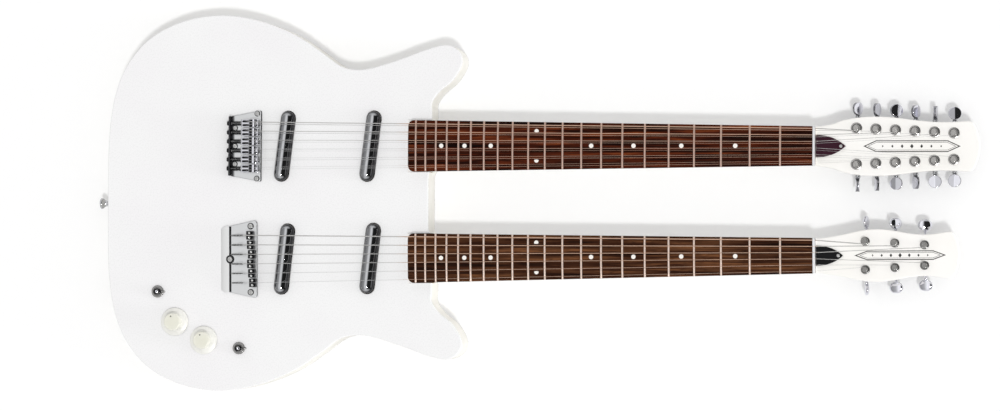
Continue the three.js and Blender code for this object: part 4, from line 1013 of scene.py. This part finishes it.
# The twisted ends of the strings lie on the plate behind the saddles
twist = dict(start=-26.4, end=-11.9, foot=-27.4, turns=7)
blocks, dowels, grubs, twists, radii = [], [], [], [[], []], [[], []]
for course, x in enumerate(six["crests"]):
    y = courseY(six, course)
    crest, end = crestHeight(y), x + bridgeSix["saddleLength"]
    blocks.append(saddleOf([(x - 0.2, 42.2), (x - 0.2, crest - 1.6, 0.3), (x + 0.8, crest, 0.7),
                            (x + 2.6, crest - 0.4, 0.8), (end, crest - 5.5, 0.8), (end, 42.2)],
                           bridgeSix["saddleWidth"], y, 0.35))
    for side in (-1, 1):
        spot = at(x + bridgeSix["grubX"], y + side * bridgeSix["grubY"])
        dowels.append(placed(barOf(1.45, crest - 5, 60, 16), spot))
        grub = carve(barOf(1.3, crest - 5, crest - 0.7, 20, 0.15), barOf(0.6, crest - 1.8, 60, 6))
        grubs.append(placed(grub, spot))
    foot, top = 43.5 - crown(y), line["stringAtSaddle"] - crown(y)
    ends = [(along, y, foot + (top - foot) * (along - twist["foot"]) / (x - twist["foot"]))
            for along in (twist["start"], twist["end"])]
    gauge = six["gauges"][course]
    for strand, phase in enumerate((0, math.pi)):
        twists[strand].append(coilRun(*ends, 0.34 + gauge * 0.3, twist["turns"], phase))
        radii[strand].append(0.26 + gauge * 0.1)
addPiece("saddles6", carve(joined(blocks), joined(dowels)), "blackOxideAndPaintedShade", place)
addPiece("saddleGrubScrews6", joined(grubs), "screwSteel", place)
for strand, (name, finish) in enumerate((("stringTwists6", "plainString"), ("stringWraps6", "blackOxideAndPaintedShade"))):
    addPiece(name, wires(twists[strand], radii[strand], 6), finish, place, sharp=70)
spots = [at(-4.6, y, deck) for y in (37.6, -37.6)]
tailSpot = at(bridgeSix["tailScrew"], 0, deck)
screws = [repeated(crossHead(3.0, 1.2), spots), placed(crossHead(3.1, 1.4), tailSpot, at(0, 0, 0.3))]
addPiece("bridgeScrews6", joined(screws), "screwSteel", place)
# painted shade: dark rings round the screws, for the shade at their edges
rings = [repeated(barOf(3.7, 0, 0.25, 32), spots), placed(barOf(4.85, -0.4, 0.4, 36, 0.15), tailSpot)]
addPiece("bridgeScrewShadeRings6", joined(rings), "blackOxideAndPaintedShade", place)
print("six-string bridge made")

# Pickups: two drawn caps that meet in the middle, on height screws

half, radius = pickups["length"] / 2, pickups["radius"]
profile = arc((0, radius - half), radius, -0.5, 0, 12) + [(radius, -0.3), (radius - 0.12, -0.1)]
profile += [(r, -z) for r, z in reversed(profile)]
for neck in necks:
    for where, x in pickups["places"].items():
        tube = placed(turned(profile, 72), at(0, 0, pickups["height"]), zToY)
        screws = [placed(barOf(1.6, 3.4, 36, 12), at(0, side * (half - 9))) for side in (-1, 1)]
        addPiece(f"pickup{neck['tag']}_{where}", joined([tube, *screws]), "tubeChromeWithPaintedShade",
                 pickupPlace(neck, x), stands=f"pickup_{neck['tag']}_{where}")
print("pickups made")

# Knobs: a low skirt, a tapered cap with a shallow dish, and a printed dot

knob = dict(places=[(0.1945, -0.633), (0.2774, -0.7305)], radius=16.0, cap=9.6, bottom=40.8, top=53.5,
            shaft=2.9, seat=44.3, dot=(0.8, 6.3, 102))
for number, share in enumerate(knob["places"], 1):
    low, high, r, c = knob["bottom"], knob["top"], knob["radius"], knob["cap"]
    shaft, seat = knob["shaft"], knob["seat"]
    shape = turned([(0, 35.5), (shaft, 35.5), (shaft, seat), (7, seat), (7, low), (r, low, 0.3),
                    (r, low + 1.9, 0.9), (c + 2.2, low + 3.0, 0.8), (c + 0.6, low + 4.2, 0.8),
                    (c, high, 1.6), (c - 2.4, high - 0.35, 0.5), (0, high - 0.45)], 72)
    name, place = f"knob_{number}", at(*bodyPoint(share))
    addPiece(f"knobCap_{number}", shape, "knobPlastic", place, name, name, 50)
    size, radius, hour = knob["dot"]
    addPiece(f"knobDot_{number}", barOf(size, -0.3, 0.08, 20), "blackInk",
             place @ turn(hour) @ at(radius, 0, high - 0.42), body=name)
print("knobs made")

# Toggle switches: knurled nut, tabbed washer, threaded bushing and a bat lever

toggle = dict(places=[(0.1452, -0.4728), (0.3767, -0.7723)], nut=7.0, teeth=36, tooth=0.35, rest=12.0,
              pivot=41.5)
for number, share in enumerate(toggle["places"], 1):
    place, name = at(*bodyPoint(share)), f"toggle_lever_{number}"
    rim, low = [], body["depth"] + 0.02
    for i in range(toggle["teeth"] * 2):
        angle, radius = math.pi * i / toggle["teeth"], toggle["nut"] - toggle["tooth"] * (i % 2)
        rim.append((radius * math.cos(angle), radius * math.sin(angle)))
    nut = carve(raised(rim, 40.5, 42.5, 0.3, 0.0, 2),
                turned([(0, 41.6), (4.4, 41.6), (5.0, 43), (0, 43)], 40))
    tab = raised(softened([(5.5, -2.6), (9.3, 0, 0.6), (5.5, 2.6)]), low, low + 0.58, 0.1)
    washer = joined([barOf(toggle["nut"], low, low + 0.53, 44, 0.1), tab])
    bushing = turned([(2.5, 36), (3.6, 36), (3.6, 44.7, 0.3), (2.9, 45, 0.1), (2.5, 44.4), (2.5, 36)], 32)
    addPiece(f"toggleNut_{number}", nut, "darkerNickel", place)
    addPiece(f"toggleWasher_{number}", washer, "darkerNickel", place)
    addPiece(f"toggleBushing_{number}", bushing, "blackOxideAndPaintedShade", place)
    lever = turned([(0, -1.9), (1.9, 0, 0.8), (1.2, 2.2, 0.8), (1.3, 6.2), (1.75, 10.6, 0.5),
                    (1.75, 12.5, 1.2), (0, 12.5)], 28)
    addPiece(f"toggleBat_{number}", lever, "chromePlate",
             place @ at(0, 0, toggle["pivot"]) @ turn(toggle["rest"], "Y"), name, name)
print("switches made")

# Tail: strap button with its screw, and the output jack with its nut

strap = turned([(0, -16), (2, -16), (2, 0.02), (5.6, 0.02, 0.4), (4.6, 1.0, 0.8), (3.3, 5.0, 2.0),
                (3.3, 8.6, 2.0), (6.5, 12.2, 1.4), (6.0, 14.4, 1.2), (4.4, 14.4, 0.3), (3.9, 13.1),
                (0, 13.1)], 48)
strapPlace = at(-body["tail"], 0, sideMiddle) @ zToBack
addPiece("strapButton", strap, "pressedChrome", strapPlace, stands="strap_button_tail")
addPiece("strapScrew", crossHead(3.4, 1.2), "screwSteel", strapPlace @ at(0, 0, 13.1))
jackPlace = at(-176.834, -91.999, sideMiddle) @ zToX
sleeve = turned([(3.2, 0), (4.7, 0, 0.3), (4.7, 26), (3.2, 26), (3.2, 0)], 40)
addPiece("jackSleeve", sleeve, "nickelPlate", jackPlace, stands="output_jack")
jackNut = raised(arc((0, 0), 7, 0, 5 / 3, 5), 1.0, 3.2, 0.35, 0.35, 2)
addPiece("jackNut", carve(jackNut, barOf(4.75, -5, 30, 32)), "nickelPlate", jackPlace)
print("tail fittings made")

# Floor, light and camera

studio = dict(target=(0.2856, -0.0043, 0.05), distance=3.5, tilt=10.69, pitch=1.39, roll=0.105,
              lens=112.55, ambient=0.7, floorGlow=0.085, glowPeak=1.7, clearGap=0.004)
suns = dict(key=dict(direction=(9.2, -13.8, 45), strength=1.05, angle=6.0, seenInMetal=True),
            fill=dict(direction=(45, -6, 2.5), strength=1.7, angle=20.0, seenInMetal=False))
card = dict(place=1.12, halfWidth=0.4, height=0.24, strength=1.0)
# What metal sees round Y, as brightness at degrees from straight up
glow = [(-180, 0.2), (-90, 0.2), (-60, 0.22), (-40, 0.3), (-30, 0.5), (-20, 0.66), (-6, 0.62), (1, 0.56),
        (7, 0.3), (13, 0.04), (17, 0.012), (95, 0.012), (112, 0.15), (180, 0.18)]


def emptyTree(made):
    made.use_nodes = True
    made.node_tree.nodes.clear()
    return made.node_tree


# Pale paper, clear from below and within a hair of its surface
def addFloor():
    made = bpy.data.materials.new("paperFloor")
    tree = emptyTree(made)
    paper = addNode(tree, "BsdfDiffuse", {"Color": linear("F4F4F4")})
    path = addNode(tree, "LightPath")
    lift = addNode(tree, "Math", {0: path.outputs["Is Camera Ray"], 1: studio["floorGlow"]},
                   operation="MULTIPLY")
    shine = addNode(tree, "Emission", {"Strength": lift.outputs[0]})
    lit = addNode(tree, "AddShader", {0: paper.outputs[0], 1: shine.outputs[0]})
    near = addNode(tree, "Math", {0: path.outputs["Ray Length"], 1: studio["clearGap"]},
                   operation="LESS_THAN")
    side = addNode(tree, "NewGeometry")
    through = addNode(tree, "Math", {0: near.outputs[0], 1: side.outputs["Backfacing"]},
                      operation="MAXIMUM")
    clear = addNode(tree, "BsdfTransparent")
    mixed = addNode(tree, "MixShader", {0: through.outputs[0], 1: lit.outputs[0], 2: clear.outputs[0]})
    addNode(tree, "OutputMaterial", {"Surface": mixed.outputs[0]})
    bm = bmesh.new()
    bmesh.ops.create_grid(bm, x_segments=1, y_segments=1, size=6)
    bmesh.ops.translate(bm, verts=bm.verts, vec=(0.3, 0, -0.0002))
    objectOf("floor", bm, [made])


# What metal sees: a soft box behind the player's right hand and black flags ahead of it
def addWorld():
    made = bpy.data.worlds.new("studioWorld")
    tree = emptyTree(made)
    made.cycles.sampling_method = "NONE"
    aim = addNode(tree, "TexCoord")
    parts = addNode(tree, "SeparateXYZ", {0: aim.outputs["Generated"]})
    angle = addNode(tree, "Math", {0: parts.outputs["X"], 1: parts.outputs["Z"]}, operation="ARCTAN2")
    share = addNode(tree, "MapRange", {"Value": angle.outputs[0], "From Min": -math.pi,
                                       "From Max": math.pi})
    band = addNode(tree, "ValToRGB", {"Fac": share.outputs[0]}, [((a + 180) / 360, b) for a, b in glow])
    across = addNode(tree, "Math", {0: parts.outputs["Y"]}, operation="ABSOLUTE")
    wide = addNode(tree, "MapRange", {"Value": across.outputs[0], "From Min": 0.55, "From Max": 0.9})
    tone = addNode(tree, "Mix", {0: wide.outputs[0], 6: band.outputs[0], 7: (0.5, 0.5, 0.5, 1)},
                   data_type="RGBA")
    seen, soft, white = [addNode(tree, "Background", {"Color": colour, "Strength": strength})
                         for colour, strength in ((tone.outputs[2], studio["glowPeak"]),
                                                  ((1, 1, 1, 1), studio["ambient"]), ((1, 1, 1, 1), 1.0))]
    path = addNode(tree, "LightPath")
    first = addNode(tree, "MixShader", {0: path.outputs["Is Glossy Ray"], 1: soft.outputs[0],
                                        2: seen.outputs[0]})
    second = addNode(tree, "MixShader", {0: path.outputs["Is Camera Ray"], 1: first.outputs[0],
                                         2: white.outputs[0]})
    addNode(tree, "OutputWorld", {"Surface": second.outputs[0]})
    bpy.context.scene.world = made


# A low white card past the headstocks, which only shiny metal sees
def addCard():
    made = bpy.data.materials.new("whiteCard")
    tree = emptyTree(made)
    shine = addNode(tree, "Emission", {"Strength": card["strength"]})
    addNode(tree, "OutputMaterial", {"Surface": shine.outputs[0]})
    bm = bmesh.new()
    half, height = card["halfWidth"], card["height"]
    bm.faces.new([bm.verts.new((card["place"], y, z))
                  for y, z in ((-half, 0), (half, 0), (half, height), (-half, height))])
    screen = objectOf("card", bm, [made])
    for kind in ("camera", "diffuse", "shadow", "transmission", "volume_scatter"):
        setattr(screen, "visible_" + kind, False)


addFloor()
addWorld()
addCard()
for name, settings in suns.items():
    light = bpy.data.lights.new(name + "Light", "SUN")
    light.energy = settings["strength"]
    light.angle = math.radians(settings["angle"])
    lamp = bpy.data.objects.new(name + "Light", light)
    lamp.rotation_euler = Vector(settings["direction"]).to_track_quat("Z", "Y").to_euler()
    lamp.visible_glossy = settings["seenInMetal"]
    bpy.context.scene.collection.objects.link(lamp)

stance = turn(studio["tilt"], "Y") @ turn(studio["pitch"], "X") @ turn(studio["roll"])
back = stance @ Vector((0, 0, studio["distance"]))
camera = bpy.data.objects.new("camera", bpy.data.cameras.new("camera"))
camera.data.lens = studio["lens"]
camera.data.sensor_width = 36
camera.data.sensor_fit = "HORIZONTAL"
camera.matrix_world = Matrix.Translation(Vector(studio["target"]) + back) @ stance
bpy.context.scene.collection.objects.link(camera)
bpy.context.scene.camera = camera
bpy.context.scene.view_settings.view_transform = "Standard"
print("studio made")
